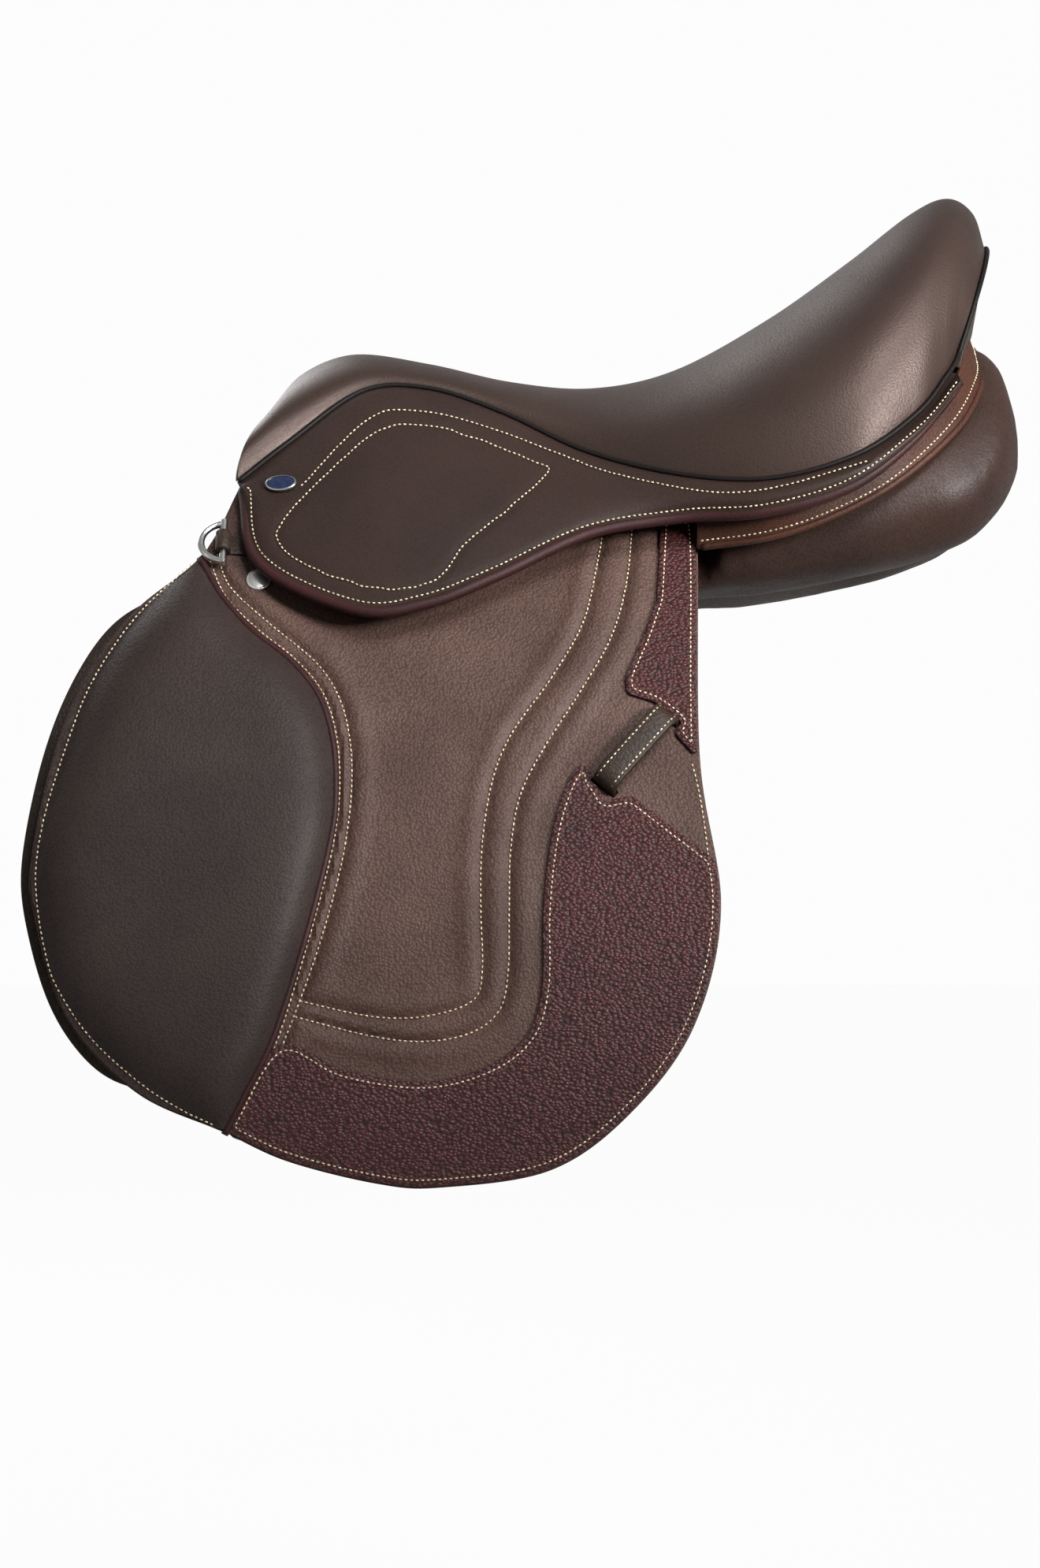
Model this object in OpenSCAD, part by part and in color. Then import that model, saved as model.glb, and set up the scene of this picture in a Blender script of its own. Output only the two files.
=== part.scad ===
// English jumping saddle: sprung tree, padded seat, skirts, flaps, panels, girth straps and metal fittings.
// Frame: +X towards the cantle, -Y towards the horse's left side, +Z up, origin on the saddle rack's ridge.

/* [Seat] */
// Length of the seat from the front of the pommel to the back of the cantle
seat_len = 407; // [370:1:440]
// Widest width of the seat
seat_w = 276; // [250:1:300]
// Height of the cantle above the lowest point of the seat's welt
seat_rise = 163; // [150:1:175]
// Thickness of the seat leather
cover_t = 2.5; // [1.5:0.1:3.5]
// Thickness of the seat foam at its edge
foam_edge = 6; // [4:0.5:8]
// Diameter of the welt cord
welt_d = 4.4; // [3:0.1:6]

/* [Tree] */
// Thickness of the laminated tree
tree_t = 10; // [8:0.5:12]
// Thickness of the steel gullet plate
gullet_t = 3; // [2:0.5:4]
// Length of the gullet plate along the horse
gullet_len = 24; // [18:1:30]
// Thickness of the spring rails
spring_t = 2; // [1.5:0.1:3]
// Width of the spring rails
spring_w = 14; // [10:1:18]
// Thickness of the seat webbing
web_t = 1.6; // [1:0.1:2]

/* [Flaps] */
// Length of the flap along the horse
flap_len = 354; // [330:1:370]
// Drop of the flap below the tree
flap_drop = 369; // [340:1:390]
// Thickness of the flap
flap_t = 5; // [4:0.1:6]
// Radius of the flap's curve round the horse's barrel
barrel_r = 610; // [590:1:640]
// Thickness of the sweat flap
sweat_t = 4; // [3:0.1:5]
// Crown of the knee pad
knee_crown = 12; // [8:0.5:14]
// Thickness of the grained leather patches
patch_t = 1.6; // [1:0.1:2.5]
// Thickness of the skirt
skirt_t = 4; // [3:0.1:5]
// Width of the stirrup leather keeper
keeper_w = 14; // [12:0.5:18]
// Thickness of the stirrup leather keeper
keeper_t = 3; // [2:0.1:4]
// Height of the keeper's arch over the flap
keeper_gap = 7; // [6:0.1:9]

/* [Girth straps] */
// Width of each girth strap
billet_w = 25; // [22:0.5:28]
// Thickness of each girth strap
billet_t = 4; // [3:0.1:5]
// Distance between the girth straps' centre lines
billet_pitch = 46; // [44:0.5:50]
// Distance between buckle holes
hole_pitch = 25; // [20:1:30]
// Diameter of a buckle hole
hole_d = 5; // [4:0.1:6]
// Number of buckle holes in each strap
hole_count = 8; // [5:1:9]

/* [Stirrup bars and rings] */
// Length of the stirrup bar
bar_len = 74; // [64:1:84]
// Height of the stirrup bar
bar_h = 12; // [10:0.5:14]
// Thickness of the stirrup bar
bar_t = 7; // [6:0.1:8]
// Gap behind the stirrup bar for the stirrup leather
bar_gap = 5; // [4.5:0.1:6]
// Diameter of the safety catch's pin
pin_d = 4; // [3:0.1:5]
// Wire diameter of the front ring
ring_wire = 3.6; // [3:0.1:4.5]
// Inside width of the front ring
ring_w = 20; // [16:1:24]
// Diameter of the pommel stud's head
stud_d = 13; // [10:0.5:16]
// Length of the oval badge on the skirt
badge_len = 17; // [14:0.5:20]

/* [Panels] */
// Length of the panels
panel_len = 412; // [380:1:430]
// Width of the gullet channel between the panels
channel_w = 56; // [50:1:64]
// Width of the rear band
band_h = 15; // [12:0.5:18]
// Thickness of the rear band
band_t = 3; // [2:0.1:4]

/* [Hidden] */

// Leather colours
seat_brown = "#3b302a";
skirt_brown = "#3d322b";
flap_brown = "#54473d";
patch_brown = "#3e2b2a";
band_brown = "#5a4034";
welt_black = "#1b1718";
strap_brown = "#43372f";

// Clearances and shared small sizes
// Gap between layers that lie on each other
lay = 0.3;
// Gap left in the leather at a fold line
fold_gap = 0.6;
// Overrun of every cut
over = 1;
// Running clearance of the catch on its pin
pin_play = 0.05;
LEFT = -1;
RIGHT = 1;

// Frame places that the sizes hang from
seat_front_x = -177;
welt_low_z = -3;
flap_front_x = -277;
flap_top_z = 0;
barrel_z = -380;
// The barrel follows the head of the tree, which widens a quarter as fast as the seat
barrel_share = .25;
barrel_past = 156;
barrel_spread = barrel_share*seat_w + barrel_past;
// What hangs over the barrel is placed from it: shares of this reach, from this far inside
hang_reach = 138;
hang_inset = 87;
function hang_y(share) = -(barrel_spread - hang_inset + (share - 1)*hang_reach);

// Smooth curve through points: one span of a Catmull-Rom spline, open runs and closed loops
function span(a, b, c, d, t) = 0.5 * (2*b + (c - a)*t + (2*a - 5*b + 4*c - d)*t*t + (3*b - a - 3*c + d)*t*t*t);
function at(p, i) = i < 0 ? 2*p[0] - p[1] : i >= len(p) ? 2*p[len(p) - 1] - p[len(p) - 2] : p[i];
function along(p, u) = let (s = min(max(u, 0), 1) * (len(p) - 1), i = min(floor(s), len(p) - 2))
    span(at(p, i - 1), at(p, i), at(p, i + 1), at(p, i + 2), s - i);
function run(p, n) = [for (i = [0:n]) along(p, i / n)];
function lerp(a, b, t) = a + (b - a) * t;
function unit(v) = v / norm(v);

// Closed solid between two matching grids of points
module slab(outer, inner, loop = false) {
    nu = len(outer);
    nv = len(outer[0]);
    last = loop ? nu - 1 : nu - 2;
    function id(k, i, j) = k*nu*nv + (i % nu)*nv + j;
    function quad(a, b, c, d) = [[a, b, c], [a, c, d]];
    faces = concat(
        [for (i = [0:last], j = [0:nv - 2]) each quad(id(0, i, j), id(0, i, j + 1), id(0, i + 1, j + 1), id(0, i + 1, j))],
        [for (i = [0:last], j = [0:nv - 2]) each quad(id(1, i, j), id(1, i + 1, j), id(1, i + 1, j + 1), id(1, i, j + 1))],
        [for (i = [0:last]) each quad(id(0, i, 0), id(0, i + 1, 0), id(1, i + 1, 0), id(1, i, 0))],
        [for (i = [0:last]) each quad(id(0, i, nv - 1), id(1, i, nv - 1), id(1, i + 1, nv - 1), id(0, i + 1, nv - 1))],
        loop ? [] : [for (j = [0:nv - 2]) each quad(id(0, 0, j), id(1, 0, j), id(1, 0, j + 1), id(0, 0, j + 1))],
        loop ? [] : [for (j = [0:nv - 2])
            each quad(id(0, nu - 1, j), id(0, nu - 1, j + 1), id(1, nu - 1, j + 1), id(1, nu - 1, j))]);
    polyhedron(concat([for (r = outer) each r], [for (r = inner) each r]), faces);
}

// Closed solid through a row of rings, capped at both ends
module loft(rings) {
    n = len(rings);
    m = len(rings[0]);
    function id(i, j) = i*m + j % m;
    polyhedron([for (r = rings) each r], concat(
        [for (i = [0:n - 2], j = [0:m - 1])
            each [[id(i, j), id(i + 1, j), id(i + 1, j + 1)], [id(i, j), id(i + 1, j + 1), id(i, j + 1)]]],
        [for (j = [1:m - 2]) [id(0, 0), id(0, j), id(0, j + 1)]],
        [for (j = [1:m - 2]) [id(n - 1, 0), id(n - 1, j + 1), id(n - 1, j)]]));
}

// Round cord along a run of points; the lean keeps its rings from turning over
cord_lean = [0.1, 0.2, 1];
module cord(path, d, sides) {
    n = len(path);
    loft([for (i = [0:n - 1]) let (
        t = unit(path[min(i + 1, n - 1)] - path[max(i - 1, 0)]),
        a = unit(cross(t, cord_lean)),
        b = cross(t, a))
        [for (k = [0:sides - 1]) let (w = 360*k/sides) path[i] + d/2*(cos(w)*a + sin(w)*b)]]);
}

// A module's left side is modelled; the right side is its mirror image
module on_side(side) mirror([0, side == RIGHT ? 1 : 0, 0]) children();

// Barrel layers: every hanging leather lies on a cylinder round one line along the horse
barrel_y = barrel_r - barrel_spread;
function layer_y(z, r) = barrel_y - sqrt(r*r - (z - barrel_z)*(z - barrel_z));
module layer(r, t, x0, x1) {
    translate([x0, barrel_y, barrel_z]) rotate([90, 0, 90]) linear_extrude(x1 - x0) difference() {
        circle(r + t, $fn = 200);
        circle(r, $fn = 200);
    }
}
// Outline seen from the side, cut out of a barrel layer
side_depth = 300;
module from_side(outline) rotate([90, 0, 0]) linear_extrude(side_depth) polygon(outline);
module leather(outline, r, t) {
    xs = [for (p = outline) p[0]];
    intersection() {
        layer(r, t, min(xs) - over, max(xs) + over);
        from_side(outline);
    }
}

// Seat form: stations of the centre line [x, z] and of the welt [x, half width, z], as shares
centre_shares = [[.055, .29], [.075, .40], [.145, .47], [.25, .435], [.36, .375], [.47, .355], [.58, .415],
    [.705, .585], [.815, .78], [.90, .945], [.95, 1], [.985, .95], [1, .83]];
welt_shares = [[0, .725, .005], [.065, .62, .14], [.16, .51, .315], [.25, .51, .325], [.35, .565, .24], [.46, .695, .105],
    [.58, .87, .02], [.695, .985, 0], [.805, 1, .075], [.885, .90, .215], [.925, .80, .34], [.94, .74, .40], [.945, .71, .43]];
function centre_at(u) = let (p = along(centre_shares, u)) [seat_front_x + p[0]*seat_len, welt_low_z + p[1]*seat_rise];
function welt_at(u) = let (p = along(welt_shares, u))
    [seat_front_x + p[0]*seat_len, -p[1]*seat_w/2, welt_low_z + p[2]*seat_rise];
crown_power = 2.2;
// Point of the seat's top: u from front to back, t from -1 on the left welt to 1 on the right; sunk is how far inside
function seat_top(u, t, sunk) = let (c = centre_at(u), e = welt_at(u),
        crown = pow(1 - pow(abs(t), crown_power), 1/crown_power), side = abs(e[1]) - sunk)
    [lerp(c[0], e[0], t*t), side*t, e[2] - sunk + (c[1] - e[2])*crown];
foam_crown_share = .55;
function foam_base(u, t, sunk) = let (c = centre_at(u), e = welt_at(u), side = abs(e[1]) - cover_t - lay)
    [lerp(c[0], e[0], t*t), side*t, e[2] - foam_edge - sunk + (c[1] - e[2])*foam_crown_share*(1 - t*t)];
seat_rows = 26;
seat_cols = 14;
function seat_grid(sunk, u0, u1) = [for (i = [0:seat_rows])
    [for (j = [0:seat_cols]) seat_top(lerp(u0, u1, i/seat_rows), 2*j/seat_cols - 1, sunk)]];

// Seat, tree and webbing
module seat_cover() color(seat_brown) slab(seat_grid(0, 0, 1), seat_grid(cover_t, 0, 1));
foam_front_share = .05;
foam_rear_share = .855;
foam_lay = 0.9;
module seat_foam() color("tan") slab(
    seat_grid(cover_t + foam_lay, foam_front_share, foam_rear_share),
    [for (i = [0:seat_rows]) let (u = lerp(foam_front_share, foam_rear_share, i/seat_rows))
        [for (j = [0:seat_cols]) foam_base(u, 2*j/seat_cols - 1, 0)]]);
welt_step_share = .01;
function welt_out(u) = let (a = welt_at(max(u - welt_step_share, 0)), b = welt_at(min(u + welt_step_share, 1)))
    unit([b[1] - a[1], a[0] - b[0], 0]);
welt_steps = 44;
welt_back_steps = 20;
module seat_welt() color(welt_black) {
    out = welt_d/2 + lay;
    side = [for (i = [0:welt_steps]) welt_at(i/welt_steps) + out*welt_out(i/welt_steps)];
    back = [for (j = [0:welt_back_steps]) seat_top(1, 2*j/welt_back_steps - 1, 0) + [out, 0, 0]];
    for (s = [LEFT, RIGHT]) on_side(s) cord(side, welt_d, 6);
    cord([for (j = [1:welt_back_steps - 1]) back[j]], welt_d, 6);
}

// The tree is a ring of laminate under the foam, open in the middle
web_seat = 0.9;
tree_seat = 1.2;
tree_room = web_seat + web_t + tree_seat;
tree_turns = 60;
tree_mid_share = .465;
tree_outer_shares = [.405, .86];
tree_inner_shares = [.30, .45];
square_share = .7;
function squared(a) = sign(a) * pow(abs(a), square_share);
function tree_point(w, k, sunk) = let (s = lerp(tree_inner_shares, tree_outer_shares, k))
    foam_base(tree_mid_share + s[0]*squared(cos(w)), s[1]*squared(sin(w)), sunk);
tree_cols = 4;
function tree_grid(sunk) = [for (i = [0:tree_turns - 1])
    [for (k = [0:tree_cols]) tree_point(360*i/tree_turns, k/tree_cols, sunk)]];
module tree_frame() color("burlywood") slab(tree_grid(tree_room), tree_grid(tree_room + tree_t), loop = true);

// A strip that follows the underside of the foam, from place to place along it and across it
strip_rows = 24;
strip_cols = 3;
function strip_grid(us, ts, sunk) = [for (i = [0:strip_rows]) [for (j = [0:strip_cols])
    foam_base(lerp(us[0], us[1], i/strip_rows), -lerp(ts[0], ts[1], j/strip_cols), sunk)]];
module strip(us, ts, sunk, thick) slab(strip_grid(us, ts, sunk), strip_grid(us, ts, sunk + thick));
spring_u_shares = [.27, .84];
spring_t_share = .62;
spring_seat = 1.2;
module spring_rails() color("slategray") for (s = [LEFT, RIGHT]) on_side(s)
    strip(spring_u_shares, [spring_t_share - spring_w/seat_w, spring_t_share + spring_w/seat_w],
        tree_room + tree_t + spring_seat, spring_t);
web_u_shares = [.1, .84];
web_t_shares = [.1, .36];
module seat_webbing() color("wheat") for (s = [LEFT, RIGHT]) on_side(s) strip(web_u_shares, web_t_shares, web_seat, web_t);

// Turned to stand on a barrel layer: X along the horse, Y up the layer, Z straight out of it
module on_layer(x, z, r) translate([x, layer_y(z, r), z]) rotate([90 - asin((z - barrel_z)/r), 0, 0]) children();

// Stirrup bars on the points of the tree
bar_x = -152;
bar_z = -46;
bar_plate_h = 14;
bar_plate_t = 3;
bar_arm = 9;
bar_round = 3;
catch_t = 3;
catch_play = 0.2;
catch_len = 22;
catch_h = 8;
catch_back = 6;
slot_depth = 13;
rivet_d = 5;
rivet_head_d = 9;
rivet_head_t = 1.5;
rivet_len = 9;
rivet_x_shares = [.25, .8];
plate_z = -(flap_t + lay);
point_t = 14;
point_gap = 0.4;
point_r = barrel_r - flap_t - point_gap - point_t;
point_x = [-168, -80];
point_z = [-70, 33.9];
point_top_shares = [[1, 1], [.58, .85], [.36, .66], [0, .585]];
function rivet_places() = [for (k = rivet_x_shares) [k*bar_len, bar_gap + bar_plate_h/2 + bar_h/2 - bar_plate_t]];
module bar_place(side) on_side(side) on_layer(bar_x, bar_z, barrel_r) children();
module rivet_holes() for (p = rivet_places())
    translate([p[0], p[1], plate_z - rivet_len]) cylinder(h = rivet_len + bar_t, d = rivet_d, $fn = 32);
tree_rivet_d = 6;
tree_rivet_x = -129;
tree_rivet_zs = [-44, -20];
tree_rivet_deep = 4;
tree_rivet_in = 3.4;
module tree_rivet_holes() for (z = tree_rivet_zs) on_layer(tree_rivet_x, z, point_r)
    translate([0, 0, -rivet_len]) cylinder(h = rivet_len + tree_rivet_deep, d = tree_rivet_d, $fn = 32);
module tree_rivets() color("gray") for (s = [LEFT, RIGHT]) on_side(s) for (z = tree_rivet_zs) on_layer(tree_rivet_x, z, point_r) {
    translate([0, 0, -tree_rivet_in]) cylinder(h = tree_rivet_in + tree_rivet_deep, d = tree_rivet_d, $fn = 32);
    translate([0, 0, -tree_rivet_in - rivet_head_t]) cylinder(h = rivet_head_t, d = rivet_head_d, $fn = 32);
}
// Hollow in the point behind the bar, so that a stirrup leather passes
recess_t = 3;
recess_up = 1;
module bar_recess() translate([bar_arm, -bar_h, plate_z - recess_t])
    cube([bar_len, bar_h*1.5 + recess_up, recess_t + flap_t]);
module tree_points() color("burlywood") for (s = [LEFT, RIGHT]) difference() {
    on_side(s) leather(concat([[point_x[0], point_z[0]], [point_x[1], point_z[0]]], [for (p = point_top_shares)
        [lerp(point_x[0], point_x[1], p[0]), lerp(point_z[0], point_z[1], p[1])]]), point_r, point_t);
    bar_place(s) rivet_holes();
    bar_place(s) bar_recess();
    on_side(s) tree_rivet_holes();
}
// Steel arch under the head of the tree; its legs lie on the points' inner faces
gullet_front_x = -141;
gullet_leg_z = [-55, -14];
gullet_leg_steps = 14;
gullet_bend_shares = [[1, 0], [.82, .46], [.55, .83], [.27, .97], [0, 1]];
gullet_bend_steps = 16;
gullet_rise = 30;
function gullet_leg(z) = [-layer_y(z, point_r - lay), z];
function gullet_half() = let (foot = gullet_leg(gullet_leg_z[1])) concat(
    [for (i = [0:gullet_leg_steps - 1]) gullet_leg(lerp(gullet_leg_z[0], gullet_leg_z[1], i/gullet_leg_steps))],
    [for (p = run(gullet_bend_shares, gullet_bend_steps)) [p[0]*foot[0], foot[1] + p[1]*gullet_rise]]);
gullet_slope_share = 1.6;
module gullet_plate() color("silver") difference() {
    half = gullet_half();
    line = concat(half, [for (i = [len(half) - 2:-1:0]) [-half[i][0], half[i][1]]]);
    translate([gullet_front_x, 0, 0]) rotate([90, 0, 90]) linear_extrude(gullet_len)
        polygon(concat(line, [for (i = [len(line) - 1:-1:0]) line[i] - [0, gullet_t*gullet_slope_share]]));
    for (s = [LEFT, RIGHT]) on_side(s) tree_rivet_holes();
}
module stirrup_bar(side) color("lightgray") bar_place(side) difference() {
    union() {
        translate([0, rivet_places()[0][1] - bar_plate_h/2, plate_z]) cube([bar_len, bar_plate_h, bar_plate_t]);
        translate([0, -bar_h/2, plate_z]) cube([bar_arm, rivet_places()[0][1] + bar_plate_h/2 + bar_h/2, bar_t - plate_z]);
        translate([0, -bar_h/2, 0]) cube([bar_len - bar_h/2, bar_h, bar_t]);
        translate([bar_len - bar_h/2, 0, 0]) cylinder(h = bar_t, d = bar_h, $fn = 48);
    }
    rivet_holes();
    translate([bar_len - slot_depth, -bar_h, bar_t/2 - catch_t/2 - catch_play])
        cube([slot_depth + over, 2*bar_h, catch_t + 2*catch_play]);
    translate([bar_len - catch_back, 0, -over]) cylinder(h = bar_t + 2*over, d = pin_d, $fn = 32);
}
module bar_catch(side) color("silver") bar_place(side) translate([bar_len - catch_back, 0, bar_t/2 - catch_t/2]) difference() {
    union() {
        cylinder(h = catch_t, d = catch_h, $fn = 32);
        translate([0, -catch_h/2, 0]) cube([catch_len, catch_h, catch_t]);
        translate([catch_len, 0, 0]) cylinder(h = catch_t, d = catch_h, $fn = 32);
    }
    translate([0, 0, -over]) cylinder(h = catch_t + 2*over, d = pin_d + 2*pin_play, $fn = 32);
}
module catch_pins() color("gray") for (s = [LEFT, RIGHT]) bar_place(s)
    translate([bar_len - catch_back, 0, 0]) cylinder(h = bar_t, d = pin_d, $fn = 32);
module bar_rivets() color("gray") for (s = [LEFT, RIGHT]) bar_place(s) for (p = rivet_places()) {
    translate([p[0], p[1], plate_z - rivet_len + over]) cylinder(h = rivet_len - over + bar_plate_t, d = rivet_d, $fn = 32);
    translate([p[0], p[1], plate_z + bar_plate_t]) cylinder(h = rivet_head_t, d = rivet_head_d, $fn = 32);
}
// Skirt: a sheet between the welt and the lower edge; shares of seat length, half seat width and skirt drop
skirt_drop = 70;
skirt_fold_z = -20;
skirt_bulge = 5;
skirt_shares = [[.005, .77, -.11], [.034, 1.0, -.66], [.16, 1.16, -1], [.25, 1.167, -.955], [.34, 1.11, -.755],
    [.46, 1.015, -.44], [.577, .985, -.34], [.688, 1.07, -.31], [.796, 1.065, -.13], [.877, .97, .21], [.919, .855, .53],
    [.936, .775, .755], [.943, .74, .885]];
skirt_welt_out = welt_d + 4*lay;
function skirt_low(u) = let (p = along(skirt_shares, u)) [seat_front_x + p[0]*seat_len, hang_y(p[1]), p[2]*skirt_drop];
function skirt_high(u) = welt_at(u) + skirt_welt_out*welt_out(u) - [0, 0, welt_d/2];
function skirt_at(u, v) = lerp(skirt_high(u), skirt_low(u), v) + [0, -skirt_bulge*sin(180*v), 0];
function fold_v(u) = let (a = skirt_high(u)[2], b = skirt_low(u)[2]) b < skirt_fold_z ? (a - skirt_fold_z)/(a - b) : 1;
skirt_slope = 35;
function skirt_in(u) = -skirt_t*(cos(skirt_slope)*welt_out(u) + [0, 0, sin(skirt_slope)]);
skirt_cols = 5;
skirt_rows = 44;
skirt_end_share = .955;
lobe_shares = [.05, .45];
lobe_rows = 26;
fold_v_gap_share = .012;
function skirt_v(u) = u > lobe_shares[0] && u < lobe_shares[1] + fold_v_gap_share ? fold_v(u) - fold_v_gap_share/2 : 1;
function tail_grid(depth) = [for (i = [0:skirt_rows]) let (u = skirt_end_share*i/skirt_rows)
    [for (j = [0:skirt_cols]) skirt_at(u, lerp(0, skirt_v(u), j/skirt_cols)) + depth*skirt_in(u)]];
module skirt_top(side) color(skirt_brown) on_side(side) slab(tail_grid(0), tail_grid(1));
lobe_gap_share = .022;
function lobe_grid(depth) = [for (i = [0:lobe_rows])
    let (u = lerp(lobe_shares[0] + lobe_gap_share, lobe_shares[1] - lobe_gap_share, i/lobe_rows))
    [for (j = [0:skirt_cols]) skirt_at(u, lerp(fold_v(u) + fold_v_gap_share, 1, j/skirt_cols)) + depth*skirt_in(u)]];
module skirt(side) color(skirt_brown) on_side(side) slab(lobe_grid(0), lobe_grid(1));

// Flap outline from the front corner round the bottom to the rear corner, as shares of its length and drop
flap_shares = [[.288, .992], [.235, .886], [.140, .805], [.065, .718], [.018, .604], [0, .45], [.006, .375], [.055, .233],
    [.158, .130], [.284, .076], [.375, .036], [.505, .005], [.596, 0], [.754, .024], [.869, .103], [.96, .222], [1, .385], [.972, .593],
    [.975, .892], [.969, .959]];
flap_steps = 90;
function flap_point(p) = [flap_front_x + p[0]*flap_len, flap_top_z - (1 - p[1])*flap_drop];
function flap_outline() = [for (p = run(flap_shares, flap_steps)) flap_point(p)];
flap_fold_z = -80;
module above(z) translate([-flap_drop*2, -flap_drop*2, z]) cube(flap_drop*4);
module below(z) translate([-flap_drop*2, -flap_drop*2, z - flap_drop*4]) cube(flap_drop*4);
window_margin = 4;
module bar_window() bar_place(LEFT)
    translate([-window_margin, -bar_h/2 - window_margin, plate_z - flap_t])
        cube([bar_len + catch_len + window_margin, 2*window_margin + bar_h + bar_plate_h + bar_gap, 2*flap_t + bar_t]);
stud_x = -164;
stud_z = -57;
stud_t = 2.4;
stud_shank_d = 4;
module stud_hole() on_layer(stud_x, stud_z, barrel_r) translate([0, 0, -flap_t - over])
    cylinder(h = flap_t + 2*over, d = stud_shank_d, $fn = 24);
module flap_top(side) color(flap_brown) on_side(side) difference() {
    intersection() {
        leather(flap_outline(), barrel_r - flap_t, flap_t);
        above(flap_fold_z + fold_gap/2);
    }
    bar_window();
    stud_hole();
}
keeper_x = 34;
keeper_z = -147;
keeper_turn = 50;
keeper_len = 54;
keeper_tail = 1;
slot_play = 0.8;
module keeper_place() on_layer(keeper_x, keeper_z, barrel_r) rotate([0, 0, keeper_turn]) children();
module keeper_slots() keeper_place() for (e = [-1, 1])
    translate([e*(keeper_len/2 - keeper_t/2) - keeper_t/2 - slot_play, -keeper_w/2 - slot_play, -flap_t*2])
        cube([keeper_t + 2*slot_play, keeper_w + 2*slot_play, flap_t*3]);
module flap(side) color(flap_brown) on_side(side) difference() {
    intersection() {
        leather(flap_outline(), barrel_r - flap_t, flap_t);
        below(flap_fold_z - fold_gap/2);
    }
    keeper_slots();
}
// Keeper strap: an arch whose ends go down through the flap's slots
keeper_shares = [[-1, 0], [-.97, .6], [-.8, .93], [-.4, 1], [0, 1], [.4, 1], [.8, .93], [.97, .6], [1, 0]];
keeper_steps = 24;
module leather_keeper(side) color(strap_brown) on_side(side) keeper_place() rotate([90, 0, 0])
    translate([0, 0, -keeper_w/2]) linear_extrude(keeper_w) {
        inner = [for (p = run(keeper_shares, keeper_steps)) [p[0]*(keeper_len/2 - keeper_t), p[1]*keeper_gap]];
        outer = [for (p = run(keeper_shares, keeper_steps)) [p[0]*keeper_len/2, p[1]*(keeper_gap + keeper_t)]];
        foot = -flap_t - keeper_tail;
        polygon(concat([[-keeper_len/2, foot]], outer, [[keeper_len/2, foot], [keeper_len/2 - keeper_t, foot]],
            [for (i = [keeper_steps:-1:0]) inner[i]], [[keeper_t - keeper_len/2, foot]]));
    }

// Padded knee roll on the front of the flap, between its front edge and its seam
knee_front_shares = [[.125, .765], [.082, .70], [.045, .63], [.024, .496], [.03, .385], [.062, .255], [.152, .146], [.262, .089]];
knee_seam_shares = [[.335, .765], [.401, .70], [.444, .606], [.441, .496], [.425, .43], [.407, .363], [.35, .211], [.288, .083]];
knee_rows = 20;
knee_cols = 12;
knee_edge = 1.5;
knee_power = .45;
function knee_point(t, s) = flap_point(lerp(along(knee_front_shares, t), along(knee_seam_shares, t), s));
function on_barrel(p, r) = [p[0], layer_y(p[1], r), p[1]];
function knee_height(t, s) = knee_edge + knee_crown*pow(max(sin(180*s), 0), knee_power)*pow(max(sin(180*t), 0), knee_power);
function knee_grid(raised) = [for (i = [0:knee_rows]) [for (j = [0:knee_cols]) let (t = i/knee_rows, s = j/knee_cols)
    on_barrel(knee_point(t, s), barrel_r + lay + (raised ? knee_height(t, s) : 0))]];
module knee_pad(side) color("#332a26") on_side(side) slab(knee_grid(true), knee_grid(false));

// Grained leather patches, cut to the flap's edge
patch_inset_share = .006;
grip_shares = [[.281, .07], [.361, .195], [.458, .161], [.572, .146], [.664, .168], [.72, .21], [.741, .276], [.743, .385],
    [.755, .484], [.775, .55], [.797, .583], [.81, .578], [.818, .56]];
grip_end_shares = [[.832, .532], [.871, .54], [.986, .455], [1.1, .45], [1.1, -.1], [.2, -.1]];
rear_shares = [[1.1, .585], [1.1, 1.05], [.92, 1.05], [.921, .94], [.912, .82], [.891, .764], [.864, .707], [.866, .684],
    [.905, .672], [.93, .656], [.93, .633], [.975, .585]];
grip_steps = 48;
patch_top_z = -22;
module patch(outline) intersection() {
    leather([for (p = outline) flap_point(p)], barrel_r + lay, patch_t);
    from_side([for (p = run(flap_shares, flap_steps)) flap_point(lerp([.5, .5], p, 1 - patch_inset_share))]);
}
module grip_patch(side) color(patch_brown) on_side(side) difference() {
    patch(concat(run(grip_shares, grip_steps), grip_end_shares));
    keeper_slots();
}
module rear_patch(side) color(patch_brown) on_side(side) difference() {
    patch(rear_shares);
    keeper_slots();
    above(flap_fold_z - flap_t);
}
module rear_patch_top(side) color(patch_brown) on_side(side) intersection() {
    patch(rear_shares);
    above(flap_fold_z + over);
    below(patch_top_z);
}

// Sweat flap, knee block, girth straps and buckle guard lie in turn under the flap
sweat_in = 24;
sweat_r = barrel_r - sweat_in;
sweat_front_share = 1.02;
sweat_bottom_share = .02;
sweat_top_z = -62;
module sweat_flap(side) color(strap_brown) on_side(side) intersection() {
    leather([for (p = run(flap_shares, flap_steps))
        flap_point([1 - (1 - p[0])*sweat_front_share, lerp(p[1], 1, sweat_bottom_share)])], sweat_r, sweat_t);
    below(sweat_top_z);
}
block_shares = [[.12, .70], [.07, .60], [.05, .48], [.08, .36], [.15, .27], [.22, .25], [.24, .34], [.26, .48], [.25, .62], [.20, .71], [.12, .70]];
block_steps = 60;
block_t = 14;
module knee_block(side) color("#2c2623") on_side(side)
    leather([for (p = run(block_shares, block_steps)) flap_point(p)], sweat_r + sweat_t + lay, block_t);

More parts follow.
